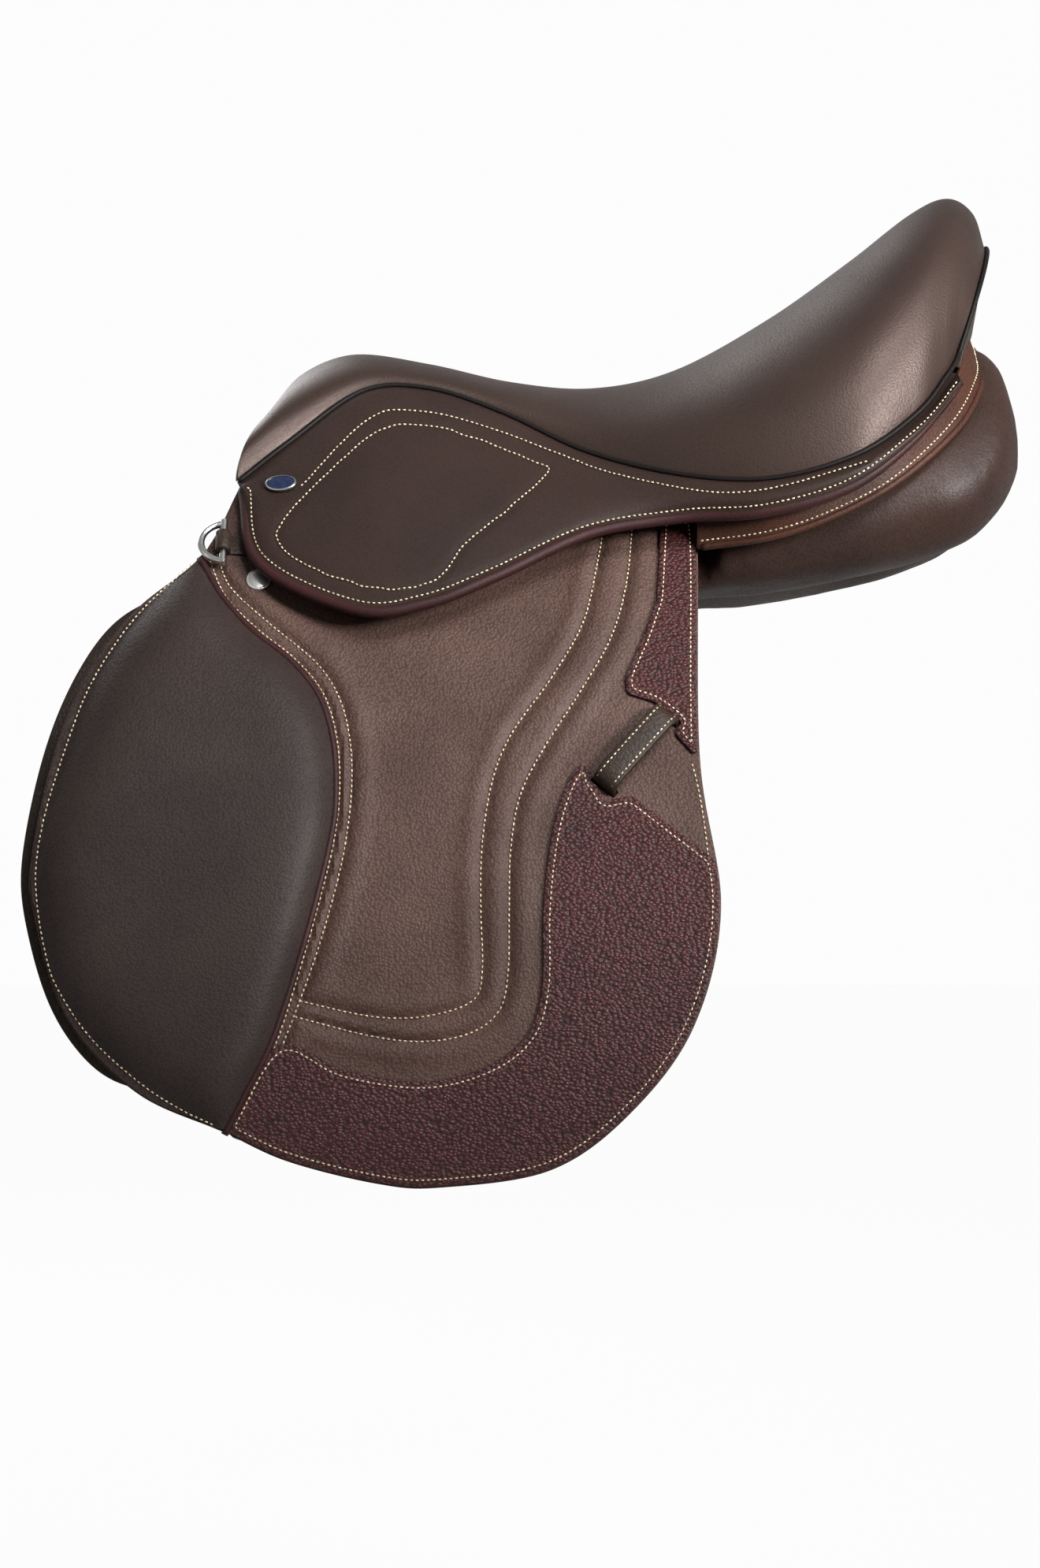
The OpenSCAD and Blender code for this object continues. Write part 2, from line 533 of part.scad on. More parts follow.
billet_in = 16;
billet_r = barrel_r - billet_in;
billet_top_z = -26;
billet_bottom_z = -305;
billet_front_x = -62;
billet_mid_x = billet_front_x + billet_pitch;
first_hole_z = -283;
billet_tip_share = .6;
function billet_x(k) = billet_mid_x + k*billet_pitch;
module billet(side, k) color(strap_brown) on_side(side) difference() {
    leather([[billet_x(k) - billet_w/2, billet_top_z], [billet_x(k) + billet_w/2, billet_top_z],
        [billet_x(k) + billet_w/2, billet_bottom_z + billet_w*billet_tip_share], [billet_x(k), billet_bottom_z],
        [billet_x(k) - billet_w/2, billet_bottom_z + billet_w*billet_tip_share]], billet_r, billet_t);
    for (h = [0:hole_count - 1]) on_layer(billet_x(k), first_hole_z + h*hole_pitch, billet_r)
        translate([0, 0, -over]) cylinder(h = billet_t + 2*over, d = hole_d, $fn = 32);
}
web_layer_t = 3;
web_margin = 5.2;
web_layer_z = [-58, -14];
module girth_webs() color("wheat") for (s = [LEFT, RIGHT]) on_side(s)
    leather([for (c = [[-1, 0], [1, 0], [1, 1], [-1, 1]])
        [billet_mid_x + c[0]*(billet_pitch + billet_w/2 + web_margin), web_layer_z[c[1]]]],
        billet_r - lay - web_layer_t, web_layer_t);
guard_t = 3;
guard_z = [-190, -100];
guard_margin = 8;
module buckle_guard(side) color(strap_brown) on_side(side)
    leather([for (c = [[-1, 0], [1, 0], [1, 1], [-1, 1]])
        [billet_mid_x + c[0]*(billet_pitch + billet_w/2 + guard_margin), guard_z[c[1]]]],
        billet_r + billet_t + lay, guard_t);

// Panels: cushions along the horse's back; stations [x, half place, z, half width, half height]
panel_front_x = -168;
// How much longer than the seat the panel is; its rise follows the seat's
panel_past = 5;
panel_x_shares = [0, .0693, .2129, .406, .5546, .6635, .775, .862, .9296, .9757, 1];
panel_mid = [80, 72, 66, 62, 68, 80, 84, 80, 70, 68, 66];
panel_z = [-88, -76, -62, -50, -44, -40, -25, -7, 12.5, 26, 30];
panel_half_w = [12, 30, 46, 54, 46, 44, 44, 48, 58, 47, 22];
panel_half_h = [7, 16, 20, 22, 25, 28, 32, 33.5, 28.8, 30, 14];
panel_rows = 24;
panel_sides = 16;
panel_rolls = [22, 22, 22, 22, 22, 22, 25, 35, 45, 45, 45];
panel_square_share = .8;
panel_seam_x = 72;
panel_flare_share = 1.5;
function rounded(a) = sign(a) * pow(abs(a), panel_square_share);
function panel_y(x, y, z) = max(min(y, -channel_w/2), layer_y(z, sweat_r - lay) - max(x - panel_seam_x, 0)*panel_flare_share);
function panel_ring(u) = let (
        x = panel_front_x + along(panel_x_shares, u)*panel_len,
        m = max(along(panel_mid, u), 0), z = along(panel_z, u*panel_len/(seat_len + panel_past)), w = along(panel_half_w, u), h = along(panel_half_h, u),
        panel_roll = along(panel_rolls, u))
    [for (k = [0:panel_sides - 1]) let (a = 360*k/panel_sides, p = rounded(cos(a))*w, q = rounded(sin(a))*h)
        [x, panel_y(x, -(m + p*cos(panel_roll) + q*sin(panel_roll)), z + q*cos(panel_roll) - p*sin(panel_roll)),
            z + q*cos(panel_roll) - p*sin(panel_roll)]];
module panel(side) color("#362c27") on_side(side) loft([for (i = [0:panel_rows]) panel_ring(i/panel_rows)]);

// Light band between the skirt's tail and the panel, round to the middle of the cantle
band_shares = [[.60, .91, -.57, 1], [.698, .985, -.494, 1], [.78, .985, -.329, 1], [.862, .935, -.067, 1],
    [.942, .797, .336, 1.2], [.981, .62, .70, 1.9], [.9925, .39, 1.0, 1.45], [.993, .18, 1.2, 1.1], [.993, .004, 1.27, .93]];
band_rows = 30;
band_cols = 3;
function band_at(u, v) = let (p = along(band_shares, u))
    [seat_front_x + p[0]*seat_len, -p[1]*(barrel_spread - hang_inset), p[2]*skirt_drop + (1 - v)*band_h*p[3]];
function band_in(u) = let (a = along(band_shares, u), b = along(band_shares, min(u + .01, 1)), c = along(band_shares, u - .01),
        d = [(b[0] - c[0])*seat_len, -(b[1] - c[1])*seat_w/2]) unit([-d[1], d[0], 0]);
module rear_band(side) color(band_brown) on_side(side) slab(
    [for (i = [0:band_rows]) [for (j = [0:band_cols]) band_at(i/band_rows, j/band_cols)]],
    [for (i = [0:band_rows]) [for (j = [0:band_cols]) band_at(i/band_rows, j/band_cols) + band_t*band_in(i/band_rows)]]);

// Leather behind the cantle, from the back welt down to the band
back_cols = 20;
back_rows = 4;
back_t = 3;
back_side_share = .92;
back_x_shares = [.987, .945];
back_y_share = .68;
back_z_shares = [1.5, 1.1];
back_seat = 1.2;
back_sunk = 5.5;
function back_high(t) = seat_top(1, t*back_side_share, back_sunk) + [back_seat, 0, 0];
function back_low(t) = [seat_front_x + lerp(back_x_shares[0], back_x_shares[1], t*t)*seat_len, t*back_y_share*seat_w/2,
    lerp(back_z_shares[0], back_z_shares[1], t*t)*skirt_drop];
module cantle_back() color(seat_brown) {
    grid = [for (i = [0:back_rows]) [for (j = [0:back_cols]) lerp(back_high(2*j/back_cols - 1), back_low(2*j/back_cols - 1), i/back_rows)]];
    slab(grid, [for (r = grid) [for (p = r) p - [back_t, 0, 0]]]);
}

// Front rings in their leather tabs, pommel studs and skirt badges
ring_x = -183;
ring_z = -36;
ring_room = 0.4;
tab_t = 2;
tab_w = 12;
tab_len = 16;
ring_out = ring_wire/2 + ring_room + tab_t + lay;
module ring_place(side) on_side(side) on_layer(ring_x, ring_z, barrel_r + ring_out) children();
module ring_tab(side) color(strap_brown) ring_place(side) rotate([90, 0, 0]) translate([0, 0, -tab_w/2]) difference() {
    union() {
        cylinder(h = tab_w, r = ring_wire/2 + ring_room + tab_t, $fn = 48);
        translate([0, -ring_out + lay, 0]) cube([tab_len, tab_t, tab_w]);
    }
    translate([0, 0, -over]) cylinder(h = tab_w + 2*over, r = ring_wire/2 + ring_room, $fn = 48);
}
ring_bar_more = 0.3;
ring_end = 2.3;
ring_lap = 6;
module front_ring(side) color("silver") ring_place(side) {
    reach = ring_w/2 + ring_wire/2;
    rotate([90, 0, 0]) cylinder(h = 2*(reach + ring_end), d = ring_wire + ring_bar_more, center = true, $fn = 48);
    rotate([0, 0, 90 - ring_lap]) rotate_extrude(angle = 180 + 2*ring_lap, $fn = 96) translate([reach, 0]) circle(d = ring_wire, $fn = 48);
}
module pommel_studs() color("silver") for (s = [LEFT, RIGHT]) on_side(s) on_layer(stud_x, stud_z, barrel_r) {
    translate([0, 0, lay]) cylinder(h = stud_t, d = stud_d, $fn = 48);
    translate([0, 0, -flap_t]) cylinder(h = flap_t + lay, d = stud_shank_d, $fn = 24);
}
badge_u = .085;
badge_v = .36;
badge_flat_share = .65;
badge_t = 2;
badge_seat = 0.7;
slope_step = .02;
function skirt_normal(u, v) = unit(cross(skirt_at(u, v + slope_step) - skirt_at(u, v - slope_step),
    skirt_at(u + slope_step, v) - skirt_at(u - slope_step, v)));
module skirt_badges() color("midnightblue") for (s = [LEFT, RIGHT]) on_side(s) {
    n = skirt_normal(badge_u, badge_v);
    translate(skirt_at(badge_u, badge_v) + badge_seat*n) rotate([0, acos(n[2]), atan2(n[1], n[0])])
        linear_extrude(badge_t) polygon([for (a = [0:10:350]) badge_len/2*[badge_flat_share*cos(a), sin(a)]]);
}

tree_frame();
gullet_plate();
tree_points();
spring_rails();
tree_rivets();
seat_webbing();
girth_webs();
seat_foam();
seat_cover();
seat_welt();
cantle_back();
catch_pins();
bar_rivets();
pommel_studs();
skirt_badges();
skirt_top(LEFT);  // skirt_top_left
skirt_top(RIGHT);  // skirt_top_right
skirt(LEFT);  // skirt_left
skirt(RIGHT);  // skirt_right
flap_top(LEFT);  // flap_top_left
flap_top(RIGHT);  // flap_top_right
flap(LEFT);  // flap_left
flap(RIGHT);  // flap_right
knee_pad(LEFT);  // knee_pad_left
knee_pad(RIGHT);  // knee_pad_right
grip_patch(LEFT);  // grip_patch_left
grip_patch(RIGHT);  // grip_patch_right
rear_patch(LEFT);  // rear_patch_left
rear_patch(RIGHT);  // rear_patch_right
leather_keeper(LEFT);  // leather_keeper_left
leather_keeper(RIGHT);  // leather_keeper_right
sweat_flap(LEFT);  // sweat_flap_left
sweat_flap(RIGHT);  // sweat_flap_right
knee_block(LEFT);  // knee_block_left
knee_block(RIGHT);  // knee_block_right
panel(LEFT);  // panel_left
panel(RIGHT);  // panel_right
rear_band(LEFT);  // rear_band_left
rear_band(RIGHT);  // rear_band_right
stirrup_bar(LEFT);  // stirrup_bar_left
stirrup_bar(RIGHT);  // stirrup_bar_right
bar_catch(LEFT);  // bar_catch_left
bar_catch(RIGHT);  // bar_catch_right
buckle_guard(LEFT);  // buckle_guard_left
buckle_guard(RIGHT);  // buckle_guard_right
ring_tab(LEFT);  // ring_tab_left
ring_tab(RIGHT);  // ring_tab_right
front_ring(LEFT);  // front_ring_left
front_ring(RIGHT);  // front_ring_right
billet(LEFT, -1);  // front_billet_left
billet(RIGHT, -1);  // front_billet_right
billet(LEFT, 0);  // middle_billet_left
billet(RIGHT, 0);  // middle_billet_right
billet(LEFT, 1);  // rear_billet_left
billet(RIGHT, 1);  // rear_billet_right
rear_patch_top(LEFT);  // rear_patch_top_left
rear_patch_top(RIGHT);  // rear_patch_top_right
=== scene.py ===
# %% [markdown]
# # A jumping saddle, dressed over its imported solids
# The imported model is the frame: every piece below is placed in its coordinates, and many ride on its
# bodies.
# Lengths are written in millimetres and turned into metres where a mesh is made.

# %% The frame
import math
import bpy
import bmesh
import numpy as np
from mathutils import Matrix, Vector


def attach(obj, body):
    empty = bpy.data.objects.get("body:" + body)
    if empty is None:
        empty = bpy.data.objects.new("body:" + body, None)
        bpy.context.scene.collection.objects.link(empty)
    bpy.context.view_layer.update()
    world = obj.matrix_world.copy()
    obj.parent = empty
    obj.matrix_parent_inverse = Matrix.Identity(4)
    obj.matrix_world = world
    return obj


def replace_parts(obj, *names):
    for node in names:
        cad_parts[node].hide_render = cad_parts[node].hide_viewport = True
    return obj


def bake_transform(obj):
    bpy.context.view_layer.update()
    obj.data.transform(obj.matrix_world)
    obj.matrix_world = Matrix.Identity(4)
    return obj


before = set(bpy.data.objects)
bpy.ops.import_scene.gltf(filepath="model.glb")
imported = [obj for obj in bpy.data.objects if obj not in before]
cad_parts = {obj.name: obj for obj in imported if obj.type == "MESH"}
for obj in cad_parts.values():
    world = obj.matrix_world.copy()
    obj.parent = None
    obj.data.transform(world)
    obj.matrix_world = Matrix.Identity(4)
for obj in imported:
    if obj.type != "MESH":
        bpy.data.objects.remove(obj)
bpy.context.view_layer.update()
MM = 0.001

# %% [markdown]
# ## Curves of the saddle
# A saddler draws a saddle from a few pattern curves: the line of the seat, the welt round it, the edge of
# the skirt and the outline of the flap. Each could be a curve object, but the sheets need points anywhere
# on them, so one smooth curve through stations does it all.

# %% A smooth curve through stations
def along(stations, u):
    points = np.asarray(stations, float)
    ends = np.vstack([2*points[0] - points[1], points, 2*points[-1] - points[-2]])
    place = min(max(u, 0.0), 1.0) * (len(points) - 1)
    i = min(int(place), len(points) - 2)
    t = place - i
    a, b, c, d = ends[i:i + 4]
    return 0.5*(2*b + (c - a)*t + (2*a - 5*b + 4*c - d)*t*t + (3*b - a - 3*c + d)*t**3)


def ramp(u, start, width):
    return min(max((u - start) / width, 0), 1)


def drawn(stations, count):
    return np.array([along(stations, k / count) for k in range(count + 1)])


def evenly(path, step):
    path = np.asarray(path, float)
    run = np.concatenate([[0], np.cumsum(np.linalg.norm(np.diff(path, axis=0), axis=1))])
    marks = np.linspace(0, run[-1], max(int(run[-1] / step), 2) + 1)
    return np.stack([np.interp(marks, run, path[:, k]) for k in range(path.shape[1])], axis=1)


print("curve check", along([[0, 0], [1, 1]], 0.5))

# %% [markdown]
# The hanging leathers lie round the horse's barrel, so each is a layer on one big cylinder.
# A point there is given by its place along the horse and its height.

# %% Layers round the barrel
BARREL_Y, BARREL_Z, FLAP_R, LAYER_TOP = 385.0, -380.0, 610.0, 200.0


def layer_y(z, r):
    return BARREL_Y - math.sqrt(r*r - (z - BARREL_Z)**2)


def on_barrel(x, z, r=FLAP_R):
    return Vector((x, layer_y(z, r), z)) * MM


def out_of_barrel(z):
    rise = (z - BARREL_Z) / FLAP_R
    return Vector((0, -math.sqrt(1 - rise*rise), rise))


print("flap at mid height lies at y", round(layer_y(-180, FLAP_R), 1), "mm")

# %% [markdown]
# Seams and stitch lines were measured in the photograph in pixels. The camera stands 2.6 m away and level,
# so a pixel is laid back on the leather by its distance.

# %% From the photograph to the leather
EYE_X, EYE_Z, EYE_FAR, PIXEL = -26.0, -164.0, 2600.0, 0.438
PHOTO_X, PHOTO_Y, PHOTO_TALL = 660, 995, 1990
CURVE_STEPS = 12


def laid_back(pixels):
    places = []
    for px, py in pixels:
        z = EYE_Z
        for _ in range(5):
            size = PIXEL * (EYE_FAR + layer_y(min(z, LAYER_TOP), FLAP_R)) / EYE_FAR
            x, z = (px - PHOTO_X)*size + EYE_X, (PHOTO_Y - py)*size + EYE_Z
        places.append((x, z))
    return evenly(drawn(places, CURVE_STEPS * len(places)), 1.0)


print("the photograph's middle lies at", laid_back([(PHOTO_X, PHOTO_Y), (PHOTO_X + 1, PHOTO_Y)])[0].round(1))

# %% [markdown]
# The seat is drawn by its centre line and its welt. Between them the cover is drawn over the foam,
# nearly flat on top and steep near the welt.

# %% Seat and skirt patterns
SEAT_FRONT, SEAT_LEN, SEAT_HALF, SEAT_RISE, WELT_LOW = -177.0, 407.0, 138.0, 163.0, -3.0
CROWN, REAR_FROM, REAR_RUN = 2.2, .8, .2
FOAM_IN, FOAM_DROP, FOAM_RISE = 2.8, 6, .55
SKIRT_DROP, SKIRT_BELLY, TUCK_OUT, TUCK_DOWN = 70, 5, 5.6, 2.2
CENTRE = [[.055, .29], [.075, .40], [.145, .47], [.25, .435], [.36, .375], [.47, .355], [.58, .415],
          [.705, .585], [.815, .78], [.90, .945], [.95, 1], [.985, .95], [1, .83]]
WELT = [[0, .725, .005], [.065, .62, .14], [.16, .51, .315], [.25, .51, .325], [.35, .565, .24],
        [.46, .695, .105], [.58, .87, .02], [.695, .985, 0], [.805, 1, .075], [.885, .90, .215],
        [.925, .80, .34], [.94, .74, .40], [.945, .71, .43]]
SKIRT = [[.005, .77, -.11], [.034, 1.0, -.66], [.16, 1.16, -1], [.25, 1.167, -.955], [.34, 1.11, -.755],
         [.46, 1.015, -.44], [.577, .985, -.34], [.688, 1.07, -.31], [.796, 1.07, -.13], [.877, .99, .21],
         [.937, .88, .60], [.959, .84, .77], [.985, .80, .95]]


def centre_at(u):
    x, z = along(CENTRE, u)
    return np.array([SEAT_FRONT + x*SEAT_LEN, 0, WELT_LOW + z*SEAT_RISE])


def welt_at(u):
    x, y, z = along(WELT, u)
    return np.array([SEAT_FRONT + x*SEAT_LEN, -y*SEAT_HALF, WELT_LOW + z*SEAT_RISE])


def welt_out(u):
    a, b = welt_at(max(u - .01, 0)), welt_at(min(u + .01, 1))
    way = np.array([b[1] - a[1], a[0] - b[0], 0])
    return way / np.linalg.norm(way)


def seat_top(u, t, sunk=0.0):
    c, e = centre_at(u), welt_at(u)
    crown = max(1 - abs(t)**CROWN, 0)**(1 / CROWN)
    rear = ramp(u, REAR_FROM, REAR_RUN)
    back = t*t*(1 - rear) + (1 - crown)*rear
    return np.array([c[0] + (e[0] - c[0])*back, (abs(e[1]) - sunk)*t, e[2] - sunk + (c[2] - e[2])*crown])


def foam_base(u, t):
    c, e = centre_at(u), welt_at(u)
    up = e[2] - FOAM_DROP + (c[2] - e[2])*FOAM_RISE*(1 - t*t)
    return np.array([c[0] + (e[0] - c[0])*t*t, (abs(e[1]) - FOAM_IN)*t, up])


def skirt_at(u, v):
    x, y, z = along(SKIRT, u)
    low = np.array([SEAT_FRONT + x*SEAT_LEN, -y*SEAT_HALF, z*SKIRT_DROP])
    high = welt_at(u) + TUCK_OUT*welt_out(u) - np.array([0, 0, TUCK_DOWN])
    return high + (low - high)*v + np.array([0, -SKIRT_BELLY*math.sin(math.pi*v), 0])


def skirt_out(u, v):
    along_u = skirt_at(min(u + .01, 1), v) - skirt_at(max(u - .01, 0), v)
    along_v = skirt_at(u, min(v + .02, 1)) - skirt_at(u, max(v - .02, 0))
    way = np.cross(along_v, along_u)
    return way / np.linalg.norm(way)


print("seat runs from", centre_at(0).round(), "to", centre_at(1).round())

# %% [markdown]
# ## Finishes
# A leather looks rich because small things change across it: the grain's pebbles, painted shade that darkens
# the valleys between them, slow clouds of tone and a few creases. Each finish is a node tree on Object
# coordinates, so nothing slides when a piece is cut or bent.

# %% One function for colours and one that adds a node
def dye(hex_colour):
    parts = [int(hex_colour[i:i + 2], 16) / 255 for i in (1, 3, 5)]
    return tuple(p / 12.92 if p <= 0.04045 else ((p + 0.055) / 1.055)**2.4 for p in parts) + (1.0,)


def add(material, kind, inputs=(), **settings):
    node = material.node_tree.nodes.new("ShaderNode" + kind)
    for key, value in settings.items():
        setattr(node, key, value)
    for socket, value in dict(inputs).items():
        if isinstance(value, bpy.types.NodeSocket):
            material.node_tree.links.new(value, node.inputs[socket])
        else:
            node.inputs[socket].default_value = value
    return node


def started(name):
    material = bpy.data.materials.new(name)
    material.use_nodes = True
    return material, material.node_tree.nodes["Principled BSDF"]


def surfaced(material, shader, colour, gloss, bump):
    links = material.node_tree.links
    links.new(colour.outputs["Result"], shader.inputs["Base Color"])
    links.new(gloss.outputs[0], shader.inputs["Roughness"])
    links.new(bump.outputs[0], shader.inputs["Normal"])


print("mid grey is", round(dye("#808080")[0], 3))

# %% Leathers
CLOUD_SIZE, CREASE_SIZE, HIDE_IOR = 45.0, 14.0, 1.48


def leather(name, light, dark, pebble, depth, rough, crease=0.25, valley_shade_depth=0.55, shine=0.3, long=1.0,
            patchy=0.6, glint="#ffffff"):
    material, shader = started(name)
    place = add(material, "TexCoord").outputs["Object"]
    drawn_out = add(material, "Mapping", {"Vector": place, "Scale": (1/long, 1, 1)})
    warp = add(material, "TexNoise", {"Vector": place, "Scale": 1000 / (pebble*5), "Detail": 2.0})
    push = add(material, "VectorMath", {0: warp.outputs["Color"], 1: (pebble*.0007,)*3}, operation="MULTIPLY")
    moved = add(material, "VectorMath", {0: drawn_out.outputs[0], 1: push.outputs[0]}, operation="ADD")
    cells = add(material, "TexVoronoi", {"Vector": moved.outputs[0], "Scale": 1000 / pebble}, feature="F1")
    clouds = add(material, "TexNoise", {"Vector": place, "Scale": 1000 / CLOUD_SIZE, "Detail": 4.0})
    creases = add(material, "TexNoise", {"Vector": place, "Scale": 1000 / CREASE_SIZE, "Detail": 6.0,
                                         "Roughness": 0.62, "Distortion": 0.8})
    # Painted shade: the colour goes towards the dark tone in the valleys between the grain's pebbles, and the
    # clouds of tone are added to it.
    painted_valley_shade = add(material, "MapRange", {"Value": cells.outputs["Distance"], "From Min": 0.3, "From Max": 0.75,
                                      "To Min": 0.0, "To Max": valley_shade_depth})
    tone = add(material, "MapRange", {"Value": clouds.outputs["Fac"], "From Min": 0.3, "From Max": 0.7,
                                      "To Min": 0.0, "To Max": patchy})
    shade_and_tone = add(material, "Math", {0: painted_valley_shade.outputs[0], 1: tone.outputs[0]}, operation="ADD", use_clamp=True)
    colour = add(material, "Mix", {"Factor": shade_and_tone.outputs[0], "A": dye(light), "B": dye(dark)},
                 data_type="RGBA")
    gloss = add(material, "MapRange", {"Value": shade_and_tone.outputs[0], "To Min": rough, "To Max": rough + 0.14})
    folds = add(material, "Bump", {"Height": creases.outputs["Fac"], "Strength": crease, "Distance": 0.0012})
    grain = add(material, "Bump", {"Height": cells.outputs["Distance"], "Strength": depth,
                                   "Distance": pebble*.00045, "Normal": folds.outputs[0]}, invert=True)
    surfaced(material, shader, colour, gloss, grain)
    shader.inputs["IOR"].default_value = HIDE_IOR
    shader.inputs["Specular IOR Level"].default_value = shine
    shader.inputs["Specular Tint"].default_value = dye(glint)
    return material


# Smooth calf on the seat: a fine tight grain and a soft broad shine
SEAT_CALF = leather("smooth_calf_seat", "#352823", "#271d19", 1.2, 0.18, 0.38, crease=0.03,
                    shine=0.5, glint="#ffe6de")
# Skirt hide: rolled smooth, a shade darker
SKIRT_HIDE = leather("rolled_hide_skirt", "#33241f", "#251915", 1.2, 0.2, 0.46, crease=0.03, shine=0.24)
# Doubled calf on the flap: fine pebbles on a warm taupe
FLAP_CALF = leather("pebbled_calf_flap", "#5a433b", "#412e27", 1.5, 0.55, 0.46, crease=0.1, patchy=0.7)
# Soft calf over the knee pad's foam: dark, with fine pulls
PAD_CALF = leather("soft_calf_pad", "#392e2b", "#29201e", 1.4, 0.3, 0.46, crease=0.03, shine=0.24)
# Grip leather: heavy round pebbles whose tops catch the light, with strong painted shade in the valleys
# between them
GRIP_HIDE = leather("pebbled_grip_hide", "#482120", "#1b0b0a", 1.5, 1.0, 0.40, crease=0.0,
                    valley_shade_depth=0.8, shine=0.42, long=1.35, patchy=0.2, glint="#ffeaed")
# Panel leather: soft and dark, drawn tight over the stuffing
PANEL_HIDE = leather("panel_hide", "#3b2a24", "#291b16", 1.3, 0.2, 0.40, crease=0.02, shine=0.24)
# Band leather on the panel's rear edge: plain
BAND_HIDE = leather("band_hide", "#492c20", "#341d15", 1.4, 0.25, 0.48, crease=0.03, shine=0.22)
# Burgundy calf for rolled edges
EDGE_CALF = leather("edge_calf_burgundy", "#3c1d1d", "#241010", 1.0, 0.2, 0.46, crease=0.02, shine=0.25)
# Painted edges of cut leather: nearly black
EDGE_DYE = leather("painted_leather_edge", "#1c1210", "#110a09", 1.0, 0.2, 0.45, crease=0.0)
# Bridle leather of straps and tabs: waxed, firm
STRAP_HIDE = leather("bridle_leather_strap", "#382a22", "#261b14", 1.6, 0.3, 0.42, crease=0.05)
# Black calf round the welt cord
WELT_CALF = leather("welt_calf_black", "#181212", "#0b0808", 0.9, 0.2, 0.5, crease=0.03, shine=0.2)
print("leathers", [m.name for m in bpy.data.materials if m.use_nodes][-11:])


# %% [markdown]
# The rest is thread, metal, enamel and what is inside: laminated beech, webbing and latex foam.
# Thread is twisted, so it gets a fine slanting band; the metals differ by how they were worked.

# %% Thread, metal, enamel and the inner finishes
def banded(name, light, dark, pitch, turn, rough, metallic=0.0, depth=0.3, noise=2.0):
    material, shader = started(name)
    place = add(material, "TexCoord").outputs["Object"]
    turned = add(material, "Mapping", {"Vector": place, "Rotation": turn})
    bands = add(material, "TexWave", {"Vector": turned.outputs[0], "Scale": 1000 / pitch / 20*math.pi,
                                      "Distortion": noise, "Detail": 2.0, "Detail Scale": 2.0})
    colour = add(material, "Mix", {"Factor": bands.outputs["Fac"], "A": dye(light), "B": dye(dark)},
                 data_type="RGBA")
    gloss = add(material, "MapRange", {"Value": bands.outputs["Fac"], "To Min": rough, "To Max": rough + .1})
    bump = add(material, "Bump", {"Height": bands.outputs["Fac"], "Strength": depth, "Distance": pitch*.0003})
    surfaced(material, shader, colour, gloss, bump)
    shader.inputs["Metallic"].default_value = metallic
    return material


# Waxed linen thread, drawn coarser than it is so that its twist shows
THREAD = banded("waxed_linen_thread", "#e8d9bb", "#c9b694", 1.2, (0, 0.9, 0.5), 0.55)
# Polished stainless steel of rings and catches
STEEL = banded("polished_stainless_steel", "#cfcfcc", "#bfc0bf", 3.0, (0.3, 0, 0), 0.2, 1.0, 0.02, 3.0)
# Forged steel of bars, plates and springs: duller, with file marks
FORGED = banded("forged_steel", "#8e8f90", "#828488", 0.7, (0, 0.2, 0.4), 0.34, 1.0, 0.06, 4.0)
# Brushed steel of studs and rims
BRUSHED = banded("brushed_steel", "#dcdbd6", "#c6c5c0", 0.5, (0, 1.2, 0), 0.34, 1.0, 0.1, 1.0)
# Vitreous enamel: deep navy under a glassy surface
ENAMEL = banded("navy_enamel", "#1d2b4a", "#16213b", 2.5, (0.4, 0.3, 0), 0.12, 0.0, 0.05, 10.0)
# The tree's laminated beech is glued over with scrim and painted dark against damp, so its weave shows
BEECH = banded("painted_scrim_on_beech", "#3a2c24", "#2b2019", 1.4, (0, 0.78, 0), 0.6, 0.0, 0.4, 0.6)
# Linen webbing across the tree and under the straps
WEBBING = banded("linen_webbing", "#8a7a62", "#6b5d49", 1.8, (0, 0, 0.78), 0.8, 0.0, 0.6, 0.4)
# Latex foam of the seat and blocks
FOAM = leather("graphite_latex_foam", "#3d3430", "#2d2622", 2.2, 0.7, 0.75, crease=0.2)
print("materials", len(bpy.data.materials))


# %% [markdown]
# ## Ways of making
# Most pieces are a sheet: a grid shaped over the pattern, given its thickness by Solidify and its rounded
# edges by Bevel. Round trims are tubes, and stitches are small beads set along a line. The left side is
# made and the right one is its mirror image.

# %% From a bmesh to a piece
def made(bm, name, material, thick=0.0, edge=0.0, rim=None):
    mesh = bpy.data.meshes.new(name)
    bm.to_mesh(mesh)
    bm.free()
    for face in mesh.polygons:
        face.use_smooth = True
    for each in material if isinstance(material, (list, tuple)) else [material]:
        mesh.materials.append(each)
    piece = bpy.data.objects.new(name, mesh)
    bpy.context.scene.collection.objects.link(piece)
    if thick:
        solid = piece.modifiers.new("thickness", "SOLIDIFY")
        solid.thickness, solid.offset = thick*MM, -1.0
        if rim:
            mesh.materials.append(rim)
            solid.material_offset_rim = 1
    if edge:
        soft = piece.modifiers.new("edge", "BEVEL")
        soft.width, soft.segments = edge*MM, 3
        soft.limit_method, soft.angle_limit = "ANGLE", math.radians(45)
    return piece


def both_sides(bm, name, material, dress, thick=0.0, edge=0.0, rim=None):
    right = bm.copy()
    bmesh.ops.scale(right, vec=(1, -1, 1), verts=right.verts)
    bmesh.ops.reverse_faces(right, faces=right.faces)
    for side, shape in (("left", bm), ("right", right)):
        piece = made(shape, f"{name}_{side}", material, thick, edge, rim)
        dress(piece, side)
    print(name, "both sides,", len(piece.data.polygons), "faces each")


def faced(bm, outward):
    bm.normal_update()
    if sum(f.normal.dot(outward(f.calc_center_median())) for f in bm.faces) < 0:
        bmesh.ops.reverse_faces(bm, faces=bm.faces)
    bm.normal_update()


def sheet(rows, cols, place):
    bm = bmesh.new()
    bmesh.ops.create_grid(bm, x_segments=rows, y_segments=cols, size=0.5)
    for v in bm.verts:
        v.co = Vector(place(v.co.x + 0.5, v.co.y + 0.5)) * MM
    return bm


